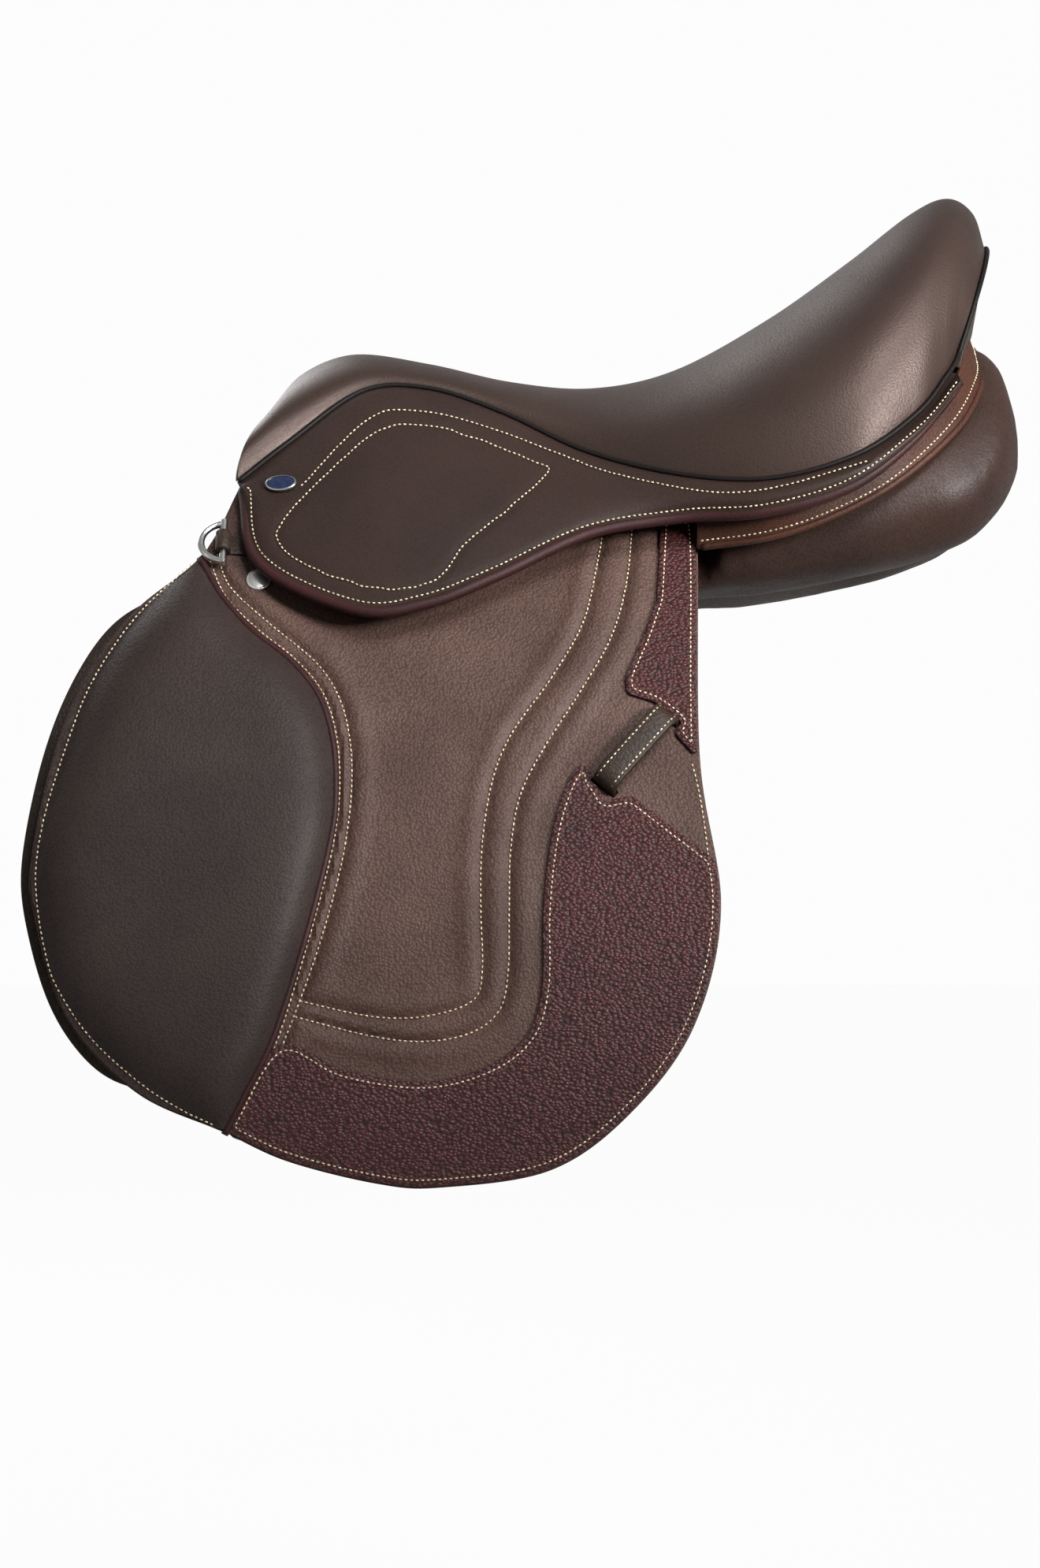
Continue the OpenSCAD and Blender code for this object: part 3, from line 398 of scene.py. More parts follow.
def closed_up(bm):
    bmesh.ops.holes_fill(bm, edges=[e for e in bm.edges if e.is_boundary], sides=0)
    bmesh.ops.recalc_face_normals(bm, faces=bm.faces)


# %% Tubes and stitches
STITCH_PITCH, STITCH_LONG, STITCH_WIDE, STITCH_SITS = 2.85, 2.0, 0.95, 0.15
TAPER_FROM, TAPER_RUN = .85, .15


def tube(bm, path, radius, sides=8, taper=0.0):
    points = [Vector(p) * MM for p in path]
    last = None
    for k, point in enumerate(points):
        way = (points[min(k + 1, len(points) - 1)] - points[max(k - 1, 0)]).normalized()
        lean = way.to_track_quat("Z", "Y").to_matrix().to_4x4()
        if last is None:
            turn = lean
        else:
            turn = (last.to_3x3().col[2].rotation_difference(way).to_matrix() @ last.to_3x3()).to_4x4()
        last = turn
        girth = radius * (1 - taper*max(k / len(points) - TAPER_FROM, 0) / TAPER_RUN)
        if taper:
            girth *= min((len(points) - .7 - k) / 2, 1)**.5
        ring = bmesh.ops.create_circle(bm, cap_ends=False, segments=sides, radius=girth*MM,
                                       matrix=Matrix.Translation(point) @ turn)["verts"]
        edges = {e for v in ring for e in v.link_edges}
        if k:
            bmesh.ops.bridge_loops(bm, edges=list(edges | before))
        before = edges
    closed_up(bm)


def stitch(bm, path, outward):
    path = evenly(path, STITCH_PITCH)
    for k in range(len(path) - 1):
        mid = (path[k] + path[k + 1]) / 2
        up = Vector(outward(mid))
        way = Vector(path[k + 1] - path[k]).normalized()
        side = up.cross(way).normalized()
        axes = (way * STITCH_LONG/2, side * STITCH_WIDE/2, up * STITCH_WIDE*0.45)
        frame_of = Matrix(axes).transposed().to_4x4()
        place = Vector(mid) + up*STITCH_SITS
        bmesh.ops.create_icosphere(bm, subdivisions=1, radius=MM,
                                   matrix=Matrix.Translation(place * MM) @ frame_of)


def barrel_path(places, r):
    return np.array([(x, layer_y(z, r), z) for x, z in places])


def barrel_up(point):
    return out_of_barrel(point[2])


# %% [markdown]
# A flap is cut from flat leather with a knife, along its outline. The same is done here: a flat grid is
# cut to the outlines, its border is drawn onto them, and then it is bent round the barrel.

# %% Sheets cut to an outline
def inside(points, ring):
    x, z = points[:, 0], points[:, 1]
    hit = np.zeros(len(points), bool)
    for (x0, z0), (x1, z1) in zip(ring, np.roll(ring, -1, axis=0)):
        cross = (z0 > z) != (z1 > z)
        with np.errstate(divide="ignore", invalid="ignore"):
            hit ^= cross & (x < (x1 - x0)*(z - z0)/(z1 - z0) + x0)
    return hit


def nearest(points, marks):
    found = np.empty(len(points), int)
    far = np.empty(len(points))
    for k in range(0, len(points), 2000):
        gap = np.linalg.norm(points[k:k + 2000, None] - marks[None], axis=2)
        found[k:k + 2000], far[k:k + 2000] = gap.argmin(1), gap.min(1)
    return found, far


def closed(ring, step=0.5):
    return evenly(np.vstack([ring, ring[:1]]), step)[:-1]


def eased(ring, times):
    for _ in range(times):
        ring = (np.roll(ring, 1, axis=0) + 2*ring + np.roll(ring, -1, axis=0)) / 4
    return ring


def cut(outlines, holes, cell):
    rings = [closed(np.asarray(r, float)) for r in outlines]
    painted_valley_shade = [closed(np.asarray(r, float)) for r in holes]
    low = np.max([r.min(0) for r in rings], axis=0)
    high = np.min([r.max(0) for r in rings], axis=0)
    count = np.maximum((high - low) / cell, 1).astype(int)
    bm = bmesh.new()
    bmesh.ops.create_grid(bm, x_segments=int(count[0]), y_segments=int(count[1]), size=0.5)
    bmesh.ops.scale(bm, vec=(*(high - low), 1), verts=bm.verts)
    bmesh.ops.translate(bm, vec=(*((low + high) / 2), 0), verts=bm.verts)
    at = np.array([v.co[:2] for v in bm.verts])
    keep = np.all([inside(at, r) for r in rings], axis=0)
    for gap in painted_valley_shade:
        keep &= ~inside(at, gap)
    bmesh.ops.delete(bm, geom=[v for v, k in zip(bm.verts, keep) if not k], context="VERTS")
    bmesh.ops.delete(bm, geom=[v for v in bm.verts if not v.link_faces], context="VERTS")
    seams = []
    for ring in rings:
        shared = np.ones(len(ring), bool)
        for other in rings:
            shared &= other is ring or inside(ring, other)
        seams.append(ring[shared])
    marks = np.vstack(seams + painted_valley_shade)
    border = [v for v in bm.verts if v.is_boundary]
    found, _ = nearest(np.array([v.co[:2] for v in border]), marks)
    for v, k in zip(border, found):
        v.co.x, v.co.y = marks[k]
    bmesh.ops.remove_doubles(bm, verts=border, dist=0.3)
    rim = {v for v in bm.verts if v.is_boundary}
    near = {e.other_vert(v) for v in rim for e in v.link_edges} - rim
    for _ in range(4):
        bmesh.ops.smooth_vert(bm, verts=list(near), factor=0.5, use_axis_x=True, use_axis_y=True)
    return bm


def bent(bm, r, relief=None):
    at = np.array([v.co[:2] for v in bm.verts])
    lift = relief(at) if relief else np.zeros(len(at))
    for v, (x, z), up in zip(bm.verts, at, lift):
        v.co = on_barrel(x, z, r + up)
    faced(bm, lambda c: out_of_barrel(c.z / MM))
    return bm


# %% [markdown]
# Flat straps, tabs and blocks have the right shape already in the solids. A copy of each is merged and its
# edges are rounded, as a saddler does with an edge tool.

# %% Copies with worked edges
def edged(node, name, material, body, width):
    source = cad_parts[node]
    bm = bmesh.new()
    bm.from_mesh(source.data)
    bm.transform(source.matrix_world)
    bmesh.ops.remove_doubles(bm, verts=bm.verts, dist=0.00002)
    bmesh.ops.dissolve_limit(bm, angle_limit=math.radians(0.5), verts=bm.verts, edges=bm.edges)
    piece = made(bm, name, material, edge=width)
    piece.modifiers["edge"].harden_normals = True
    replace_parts(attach(piece, body), node)
    return piece


print("ways of making ready")

# %% [markdown]
# ## Seat
# The seat's cover is calf drawn over foam from pommel to cantle. It could be inflated by a simulation,
# but a drawn seat is in tension and takes the form of its foam, so its surface comes straight from
# the pattern.

# %% Seat cover and foam
def spread(s):
    return math.sin((s - 0.5) * math.pi)


seat = sheet(130, 72, lambda u, s: seat_top(u, spread(s)))
faced(seat, lambda c: Vector((0, 0, 1)))
seat_piece = made(seat, "seat_cover_leather", SEAT_CALF, thick=2.5, edge=0.8)
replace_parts(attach(seat_piece, "saddle"), "seat_cover")


def foam_place(u, s):
    turn = 0.0 if s > .999 else s * 2
    at_u = .05 + .805*u
    return seat_top(at_u, 2*turn - 1, 3.6) if turn < 1 else foam_base(at_u, 3 - 2*turn)


foam = sheet(60, 48, foam_place)
bmesh.ops.remove_doubles(foam, verts=foam.verts, dist=0.0002)
closed_up(foam)
foam_piece = made(foam, "seat_foam_latex", FOAM)
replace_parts(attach(foam_piece, "saddle"), "seat_foam")
print("seat", len(seat_piece.data.polygons), "faces")

# %% [markdown]
# A thin black welt closes the seam between seat and skirt: a strip of calf folded round a cord.
# One tube follows the seam from the front on the left, round behind the cantle, to the front on the right.

# %% Welt
side_line = [welt_at(u) + 1.7*welt_out(u) for u in np.linspace(0, 1, 110)]
back_line = [seat_top(1, t) + np.array([1.2, 0, 0]) for t in np.linspace(-.93, .93, 50)]
other_line = [p * np.array([1, -1, 1]) for p in reversed(side_line)]
welt = bmesh.new()
tube(welt, evenly(np.array(side_line + back_line + other_line), 2.5), 1.3)
welt_piece = made(welt, "seat_welt_cord", WELT_CALF)
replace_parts(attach(welt_piece, "saddle"), "seat_welt")
print("welt", len(welt_piece.data.polygons), "faces")

# %% [markdown]
# ## Skirts
# Each skirt is one sheet sewn under the welt, and its front lobe lifts to reach the stirrup bar. Its edge is
# rolled in burgundy calf. One line of stitching follows that edge, one follows the welt, and a third closes
# a panel on the lobe.

# %% Stitch lines on the skirt
SKIRT_END, ROLL_AT, SEWN_IN, SEWN_SHARE = .86, 1.02, 5.0, .62
GRID_U, GRID_V = np.meshgrid(np.linspace(0, SKIRT_END, 240), np.linspace(0, ROLL_AT, 60), indexing="ij")
GRID = np.array([skirt_at(u, v) for u, v in zip(GRID_U.ravel(), GRID_V.ravel())])
scale = PIXEL * (EYE_FAR + GRID[:, 1]) / EYE_FAR
SEEN = np.stack([(GRID[:, 0] - EYE_X)/scale + PHOTO_X, PHOTO_Y - (GRID[:, 2] - EYE_Z)/scale], axis=1)


def on_skirt(pixels):
    marks = evenly(drawn(pixels, CURVE_STEPS * len(pixels)), 3.0)
    found, _ = nearest(marks, SEEN)
    uv = np.stack([GRID_U.ravel()[found], GRID_V.ravel()[found]], axis=1)
    for _ in range(6):
        uv[1:-1] = (uv[:-2] + 2*uv[1:-1] + uv[2:]) / 4
    return evenly(np.array([skirt_at(u, v) for u, v in uv]), 1.0)


def skirt_up(point):
    k = np.linalg.norm(GRID - point, axis=1).argmin()
    return skirt_out(GRID_U.ravel()[k], GRID_V.ravel()[k])


TEARDROP = [(351, 677), (362, 656), (400, 615), (460, 560), (490, 543), (530, 538), (600, 555), (680, 587),
            (697, 598), (640, 650), (590, 690), (555, 735), (500, 748), (430, 735), (370, 706), (353, 688),
            (351, 677)]
OUTER_LINE = [(383, 617), (440, 555), (480, 525), (520, 520), (560, 525), (640, 550), (720, 580), (775, 600),
              (875, 621), (935, 625), (1000, 615), (1102, 585)]


def along_edge(u):
    fall = skirt_at(u, 1) - skirt_at(u, 0)
    way = skirt_at(min(u + .01, 1), 1) - skirt_at(max(u - .01, 0), 1)
    width = np.linalg.norm(np.cross(fall, way)) / np.linalg.norm(way)
    return skirt_at(u, ROLL_AT - min(SEWN_IN, SEWN_SHARE*width) / width)


skirt_lines = [on_skirt(TEARDROP), on_skirt(OUTER_LINE),
               np.array([along_edge(u) for u in np.linspace(.012, SKIRT_END - .012, 280)])]
print("skirt stitching", [len(line) for line in skirt_lines], "points")

# %% Skirt sheets, rolled edges and stitching
SKIRT_FOLD_Y, TUCKED = 132.9, .06
SEAM_SINKS, SEAM_WIDE = 0.7, 2.0


def dress_skirt(piece, side):
    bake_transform(piece)


def skirt_sheet(piece, side):
    dress_skirt(piece, side)
    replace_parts(piece, f"skirt_top_{side}", f"skirt_{side}")


def skirt_tucked(u, v):
    v = (ROLL_AT + TUCKED)*v - TUCKED
    if v >= 0:
        return skirt_at(u, v)
    high, under = skirt_at(u, 0), welt_at(u) - .6*welt_out(u) - np.array([0, 0, .4])
    return high + (under - high) * -v/TUCKED


skirt = sheet(200, 46, lambda u, v: skirt_tucked(SKIRT_END*u, v))
at = np.array([v.co[:] for v in skirt.verts]) / MM
_, far = nearest(at, np.vstack(skirt_lines))
faced(skirt, lambda c: Vector((0, -1, .4)))
for v, gap in zip(skirt.verts, far):
    v.co -= v.normal * SEAM_SINKS*MM * math.exp(-(gap / SEAM_WIDE)**2)
both_sides(skirt, "skirt_leather", SKIRT_HIDE, skirt_sheet, thick=3.4, edge=0.6)

roll_line = [skirt_at(u, ROLL_AT) - 1.4*skirt_out(u, 1) for u in np.linspace(0, SKIRT_END, 260)]
edge = bmesh.new()
tube(edge, evenly(roll_line, 2.2), 3.0, 10, .4)
both_sides(edge, "skirt_rolled_edge", EDGE_CALF, dress_skirt)

sewn = bmesh.new()
for line in skirt_lines:
    stitch(sewn, line, skirt_up)
both_sides(sewn, "skirt_stitching", THREAD, dress_skirt)

# %% [markdown]
# ## Flaps
# A flap is two layers of calf sewn together, with quilted channels for the rider's leg. The channels are
# drawn into the sheet along their stitch lines.

# %% Flap outline, slots and stitch lines
FLAP_FRONT, FLAP_LEN, FLAP_DEEP = -277, 354, 369
FLAP = [[.288, .992], [.235, .886], [.140, .805], [.075, .718], [.029, .604], [0, .45], [.006, .375],
        [.055, .233], [.158, .130], [.284, .076], [.375, .036], [.505, .005], [.596, 0], [.754, .024],
        [.869, .103], [.96, .222], [1, .385], [.972, .593], [.975, .892], [.969, .959]]
KEEPER_X, KEEPER_Z, KEEPER_TURN = 34, -147, math.radians(50)
SLOT_AT, SLOT_HALF, SLOT_LONG = 25.5, 2.3, 7.8


def flap_place(shares):
    shares = np.asarray(shares, float)
    return np.stack([FLAP_FRONT + shares[..., 0]*FLAP_LEN, -(1 - shares[..., 1])*FLAP_DEEP], axis=-1)


def barrel_box(x, z, x0, x1, up0, up1, turn=0.0):
    rise = math.sqrt(1 - ((z - BARREL_Z)/FLAP_R)**2)
    corners = [(x0, up0), (x1, up0), (x1, up1), (x0, up1)]
    c, s = math.cos(turn), math.sin(turn)
    return np.array([(x + a*c - b*s, z + (a*s + b*c)*rise) for a, b in corners])


FLAP_LINE = flap_place(drawn(FLAP, 240))
FLAP_MID = flap_place([.5, .5])
BAR_WINDOW = barrel_box(-152, -46, -4, 96, -10, 29)
KEEPER_SLOTS = [barrel_box(KEEPER_X, KEEPER_Z, mid - SLOT_HALF, mid + SLOT_HALF,
                           -SLOT_LONG, SLOT_LONG, KEEPER_TURN) for mid in (-SLOT_AT, SLOT_AT)]
CHANNEL_IN = [(768, 660), (757, 720), (740, 790), (700, 860), (650, 930), (625, 990), (612, 1070),
              (610, 1150), (612, 1230), (600, 1270), (540, 1290), (470, 1290), (378, 1270)]
CHANNEL_OUT = [(803, 660), (795, 740), (775, 810), (735, 880), (690, 950), (660, 1010), (648, 1080),
               (646, 1160), (645, 1230), (635, 1280), (600, 1310), (540, 1322), (470, 1315), (372, 1290)]
SEAM_ROLL = [(255, 710), (280, 755), (320, 800), (370, 840), (405, 885), (422, 940), (426, 1000),
             (422, 1050), (405, 1125), (380, 1215), (345, 1320), (310, 1390), (285, 1440)]
SEAM_ONE = [(262, 700), (285, 755), (325, 797), (375, 837), (410, 880), (427, 935), (431, 1000),
            (424, 1065), (410, 1125), (385, 1215), (350, 1325), (315, 1395), (290, 1442)]
SEAM_TWO = [(275, 702), (292, 745), (340, 790), (400, 840), (430, 885), (444, 940), (446, 1000),
            (439, 1065), (425, 1130), (400, 1215), (365, 1310), (340, 1370), (302, 1442)]
KNEE_RIM = [(245, 715), (185, 770), (145, 820), (110, 880), (80, 960), (57, 1035), (46, 1100), (48, 1152),
            (57, 1205), (72, 1252), (116, 1318), (180, 1376), (230, 1408), (272, 1428)]
BARE_EDGE = [(878, 968), (886, 1000), (893, 1040), (899, 1088)]
flap_lines = [laid_back(p) for p in (CHANNEL_IN, CHANNEL_OUT, SEAM_ONE, SEAM_TWO)]
print("flap outline", FLAP_LINE.min(0).round(1), FLAP_LINE.max(0).round(1))

# %% Flap sheets
GROOVE_DEEP, GROOVE_WIDE = 1.5, 1.9
RIDGE_HIGH, RIDGE_AT, RIDGE_WIDE = 1.1, 7, 4.5


def dress_flap(piece, side):
    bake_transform(piece)


def flap_sheet(piece, side):
    dress_flap(piece, side)
    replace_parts(piece, f"flap_top_{side}", f"flap_{side}")


def flap_relief(at):
    groove, ridge = np.zeros(len(at)), np.zeros(len(at))
    for line in flap_lines:
        _, far = nearest(at, line[::2])
        groove = np.minimum(groove, -GROOVE_DEEP*np.exp(-(far / GROOVE_WIDE)**2))
        ridge = np.maximum(ridge, RIDGE_HIGH*np.exp(-((far - RIDGE_AT) / RIDGE_WIDE)**2))
    return groove + ridge*(groove > -.4)


flap = bent(cut([FLAP_LINE], [BAR_WINDOW] + KEEPER_SLOTS, 2.2), FLAP_R, flap_relief)
both_sides(flap, "flap_leather", FLAP_CALF, flap_sheet, thick=5.0, edge=1.2, rim=EDGE_DYE)

# %% [markdown]
# ## Knee pads
# Foam under soft calf on the front of the flap. It rises from a flat sewn rim and tucks under the flap's
# rolled seam at the back.

# %% Knee pad, seam roll and flap stitching
PAD_HIGH, PAD_SITS, RIM_SWELL, SEAM_SWELL = 12.0, 1.7, 10, 8
seam_line = laid_back(SEAM_ROLL)
rim_line = laid_back(KNEE_RIM)
INSET = (FLAP_LINE - FLAP_MID) * .994 + FLAP_MID
pad_ring = np.vstack([2*seam_line[:1] - seam_line[8:9], seam_line, 2*seam_line[-1:] - seam_line[-9:-8],
                      [[-420, -420], [-420, 40]]])
sewn_ring = np.vstack([seam_line, rim_line[::-1]])


def pad_relief(at):
    _, rim = nearest(at, rim_line)
    _, seam = nearest(at, seam_line)
    swell = np.where(inside(at, sewn_ring), 1 - np.exp(-(rim / RIM_SWELL)**1.25), 0)
    swell = swell * (1 - np.exp(-(seam / SEAM_SWELL)**1.2))
    return PAD_HIGH*swell - 0.7*np.exp(-(rim / 1.7)**2)


knee = bent(cut([pad_ring, INSET], (), 2.0), FLAP_R + PAD_SITS, pad_relief)


def knee_pad(piece, side):
    dress_flap(piece, side)
    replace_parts(piece, f"knee_pad_{side}")


both_sides(knee, "knee_pad_calf", PAD_CALF, knee_pad, thick=1.3, edge=0.5)

roll = bmesh.new()
tube(roll, barrel_path(evenly(seam_line, 2.5), FLAP_R + 1.3), 1.9, 10)
both_sides(roll, "knee_seam_roll", EDGE_CALF, dress_flap)

flap_sewn = bmesh.new()
for line in flap_lines:
    stitch(flap_sewn, barrel_path(line, FLAP_R - .7), barrel_up)
stitch(flap_sewn, barrel_path(rim_line, FLAP_R + 1.9), barrel_up)
stitch(flap_sewn, barrel_path(laid_back(BARE_EDGE), FLAP_R + .1), barrel_up)
both_sides(flap_sewn, "flap_stitching", THREAD, dress_flap)

# %% [markdown]
# ## Grip patches
# Two pieces of heavily grained leather are sewn to the flap where the rider's leg and the stirrup leather
# rub.

# %% Patches and their stitching
def hem(bm, inset):
    rim = {v: [e.other_vert(v) for e in v.link_edges if e.is_boundary] for v in bm.verts if v.is_boundary}
    rings = []
    while rim:
        ring = [next(iter(rim))]
        while ring[-1] in rim:
            onward = [v for v in rim.pop(ring[-1]) if v in rim]
            ring += onward[:1] or [ring[0]]
        rings.append(np.array([v.co[:2] for v in ring]))
    ring = eased(closed(max(rings, key=len), 1.0), 4)
    way = np.roll(ring, -3, axis=0) - np.roll(ring, 3, axis=0)
    side = np.stack([-way[:, 1], way[:, 0]], axis=1) / np.linalg.norm(way, axis=1)[:, None]
    if inside(ring + 2*side, ring).mean() <= .5:
        side = -side
    line = ring + inset*side
    _, far = nearest(line, ring)
    line = line[far > .9*inset]
    return np.vstack([line, line[:1]])


PATCH_SITS = 1.9
GRIP = [[.281, .07], [.361, .195], [.458, .161], [.572, .146], [.664, .168], [.72, .21], [.741, .276],
        [.743, .385], [.755, .484], [.775, .55], [.797, .583], [.81, .578], [.818, .56]]
GRIP_END = [[.832, .532], [.871, .54], [.986, .455], [1.1, .45], [1.1, -.1], [.2, -.1]]
REAR = [[1.1, .585], [1.1, .94], [.921, .94], [.912, .82], [.891, .764], [.864, .707], [.866, .684],
        [.905, .672], [.93, .656], [.93, .633], [.975, .585]]
grip_line = flap_place(np.vstack([drawn(GRIP, 120), GRIP_END]))
grip = cut([grip_line, INSET], KEEPER_SLOTS, 2.0)
grip_hem = hem(grip, 3.3)
grip = bent(grip, FLAP_R + PATCH_SITS)


def grip_patch(piece, side):
    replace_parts(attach(piece, f"flap_{side}"), f"grip_patch_{side}")


both_sides(grip, "grip_patch_hide", GRIP_HIDE, grip_patch, thick=1.6, edge=0.4, rim=EDGE_DYE)
rear = cut([flap_place(REAR), INSET], KEEPER_SLOTS, 2.0)
rear_hem = hem(rear, 3.0)
rear = bent(rear, FLAP_R + PATCH_SITS)


def rear_patch(piece, side):
    dress_flap(piece, side)
    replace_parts(piece, f"rear_patch_{side}", f"rear_patch_top_{side}")


both_sides(rear, "rear_patch_hide", GRIP_HIDE, rear_patch, thick=1.6, edge=0.4, rim=EDGE_DYE)

patch_sewn = bmesh.new()
for line in (grip_hem, rear_hem):
    stitch(patch_sewn, barrel_path(line, FLAP_R + PATCH_SITS), barrel_up)
both_sides(patch_sewn, "patch_stitching", THREAD, dress_flap)

# %% [markdown]
# ## Sweat flaps
# A sweat flap lies under each flap. It is cut a little larger at the front and below the knee, so its edge
# shows there, and a little smaller elsewhere.

# %% Sweat flaps
SWEAT_R, SWEAT_TOP, SWEAT_SHOWS, SWEAT_HIDES = 590.0, -62.0, 7.5, 6.0
SHOWS_AHEAD, SHOWS_BELOW, SHOWS_OVER = -.62, -50, 30
reach = FLAP_LINE - FLAP_MID
reach /= np.linalg.norm(reach, axis=1)[:, None]
ahead = np.clip((SHOWS_AHEAD - reach[:, :1]) * 10, 0, 1)
below = np.clip((SHOWS_BELOW - FLAP_LINE[:, 1:]) / SHOWS_OVER, 0, 1)
grown = (SWEAT_SHOWS + SWEAT_HIDES)*(ahead * below) - SWEAT_HIDES
sweat_line = eased(closed(FLAP_LINE + reach*grown, 3.0), 30)
sweat_room = [(-400, SWEAT_TOP), (200, SWEAT_TOP), (200, -500), (-400, -500)]
sweat = bent(cut([sweat_line, sweat_room], (), 2.8), SWEAT_R)


def sweat_flap(piece, side):
    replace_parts(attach(piece, "saddle"), f"sweat_flap_{side}")


both_sides(sweat, "sweat_flap_leather", STRAP_HIDE, sweat_flap, thick=4.0, edge=1.0, rim=EDGE_DYE)

# %% [markdown]
# ## Straps, keepers and the layers under the flap
# These have worked edges, so each is a copy of its solid with rounded corners.

# %% Keepers, blocks, straps, guards and tabs
for side in ("left", "right"):
    edged(f"leather_keeper_{side}", f"keeper_strap_{side}", STRAP_HIDE, f"flap_{side}", 0.8)
    block = edged(f"knee_block_{side}", f"knee_block_foam_{side}", PANEL_HIDE, "saddle", 4.0)
    edged(f"buckle_guard_{side}", f"buckle_guard_leather_{side}", STRAP_HIDE, "saddle", 0.8)
    edged(f"ring_tab_{side}", f"ring_tab_leather_{side}", STRAP_HIDE, "saddle", 0.4)
    for place in ("front", "middle", "rear"):
        billet = f"{place}_billet_{side}"
        edged(billet, f"{place}_girth_strap_{side}", STRAP_HIDE, billet, 0.8)
edged("girth_webs", "girth_web_linen", WEBBING, "saddle", 0.6)
edged("seat_webbing", "seat_web_linen", WEBBING, "saddle", 0.4)

KEEPER_ARCH = [[-.97, .6], [-.8, .93], [-.4, 1], [0, 1], [.4, 1], [.8, .93], [.97, .6]]
KEEPER_HALF, KEEPER_RISE = 27, 10
KEEPER_OUT = out_of_barrel(KEEPER_Z)


def keeper_path(across):
    up_layer = Vector((0, KEEPER_OUT[2], -KEEPER_OUT[1]))
    c, s = math.cos(KEEPER_TURN), math.sin(KEEPER_TURN)
    run, wide = Vector((c, 0, 0)) + up_layer*s, Vector((-s, 0, 0)) + up_layer*c
    base = on_barrel(KEEPER_X, KEEPER_Z) / MM + wide*across
    arch = drawn(KEEPER_ARCH, 40)
    return np.array([base + run*a*KEEPER_HALF + KEEPER_OUT*(h*KEEPER_RISE - .1) for a, h in arch])


keeper_sewn = bmesh.new()
for across in (-4.8, 4.8):
    stitch(keeper_sewn, keeper_path(across), lambda point: KEEPER_OUT)
both_sides(keeper_sewn, "keeper_stitching", THREAD, lambda piece, side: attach(piece, f"flap_{side}"))
print("straps and layers done")

# %% [markdown]
# ## Panels
# The panels are bags of soft hide stuffed with flock, sewn along the channel. They are lofted at the
# solids' places along the horse, and their rear ends follow the photograph more closely.

# %% Stuffing by simulation
STUFF_CELL, STUFF_CAP, STUFF_PUSH, STUFF_STIFF, STUFF_FRAMES = 4.0, 4.0, 4.0, 2.0, 20


def stuffed(bm):
    bag = made(bm, "bag_on_the_bench", PANEL_HIDE)
    skin = bag.modifiers.new("skin", "REMESH")
    skin.mode, skin.voxel_size = "VOXEL", STUFF_CELL*MM
    graph = bpy.context.evaluated_depsgraph_get()
    fresh = bpy.data.meshes.new_from_object(bag.evaluated_get(graph))
    bag.modifiers.clear()
    bag.data = fresh
    start = np.array([v.co[:] for v in bag.data.vertices])
    cloth = bag.modifiers.new("stuffing", "CLOTH")
    cloth.settings.use_pressure, cloth.settings.uniform_pressure_force = True, STUFF_PUSH
    cloth.settings.effector_weights.gravity = 0
    cloth.settings.bending_stiffness = STUFF_STIFF
    cloth.point_cache.frame_start, cloth.point_cache.frame_end = 1, STUFF_FRAMES
    for moment in range(1, STUFF_FRAMES + 1):
        bpy.context.scene.frame_set(moment)
    graph = bpy.context.evaluated_depsgraph_get()
    swollen = np.array([v.co[:] for v in bag.evaluated_get(graph).data.vertices])
    moved = swollen - start
    length = np.linalg.norm(moved, axis=1)
    start += moved * np.minimum(1, STUFF_CAP*MM / np.maximum(length, 1e-9))[:, None]
    full = bmesh.new()
    full.from_mesh(bag.data)
    for v, place in zip(full.verts, start):
        v.co = place
    bpy.data.objects.remove(bag)
    bpy.context.scene.frame_set(1)
    print("stuffed", len(full.verts), "points, moved up to", round(float(length.max()) / MM, 1), "mm")
    return full


# %% Panels
PANEL_X = [0, .0693, .2129, .406, .5546, .6635, .775, .862, .9296, .9757, 1]
PANEL_MID = [80, 72, 66, 62, 68, 78, 80, 72, 60, 58, 58]
PANEL_Z = [-88, -76, -62, -49, -40, -34, -19, 0, 22, 27, 22]
PANEL_W = [12, 30, 46, 52, 44, 42, 45, 52, 64, 46, 20]
PANEL_H = [7, 16, 20, 20, 18, 20, 26, 32, 33, 29, 13]
PANEL_ROLL = [22, 22, 22, 22, 22, 22, 25, 35, 45, 45, 45]
STATIONS = np.stack([PANEL_X, PANEL_MID, PANEL_Z, PANEL_W, PANEL_H, PANEL_ROLL], axis=1)
PANEL_FRONT, PANEL_LEN, PANEL_SQUARE, CHANNEL_HALF = -168, 412, .8, 28
PANEL_R, PANEL_FREE, FREE_SLOPE = 585.7, 74, 3


def squared(wave):
    return math.copysign(abs(wave)**PANEL_SQUARE, wave)


def panel_place(u, s):
    share, mid, z, w, h, roll_turn = along(STATIONS, u)
    x = PANEL_FRONT + share*PANEL_LEN
    a, turn = 2*math.pi*s, math.radians(roll_turn)
    p, q = squared(math.cos(a)) * w, squared(math.sin(a)) * h
    up = z + q*math.cos(turn) - p*math.sin(turn)
    y = min(-(mid + p*math.cos(turn) + q*math.sin(turn)), -CHANNEL_HALF)
    return np.array([x, max(y, layer_y(up, PANEL_R) - max(x - PANEL_FREE, 0)*FREE_SLOPE), up])


panel = sheet(90, 64, panel_place)
bmesh.ops.remove_doubles(panel, verts=panel.verts, dist=0.00005)
closed_up(panel)
panel = stuffed(panel)


def panel_bag(piece, side):
    soft = piece.modifiers.new("soft", "SUBSURF")
    soft.levels = soft.render_levels = 1
    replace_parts(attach(piece, "saddle"), f"panel_{side}")


both_sides(panel, "panel_bag", PANEL_HIDE, panel_bag)

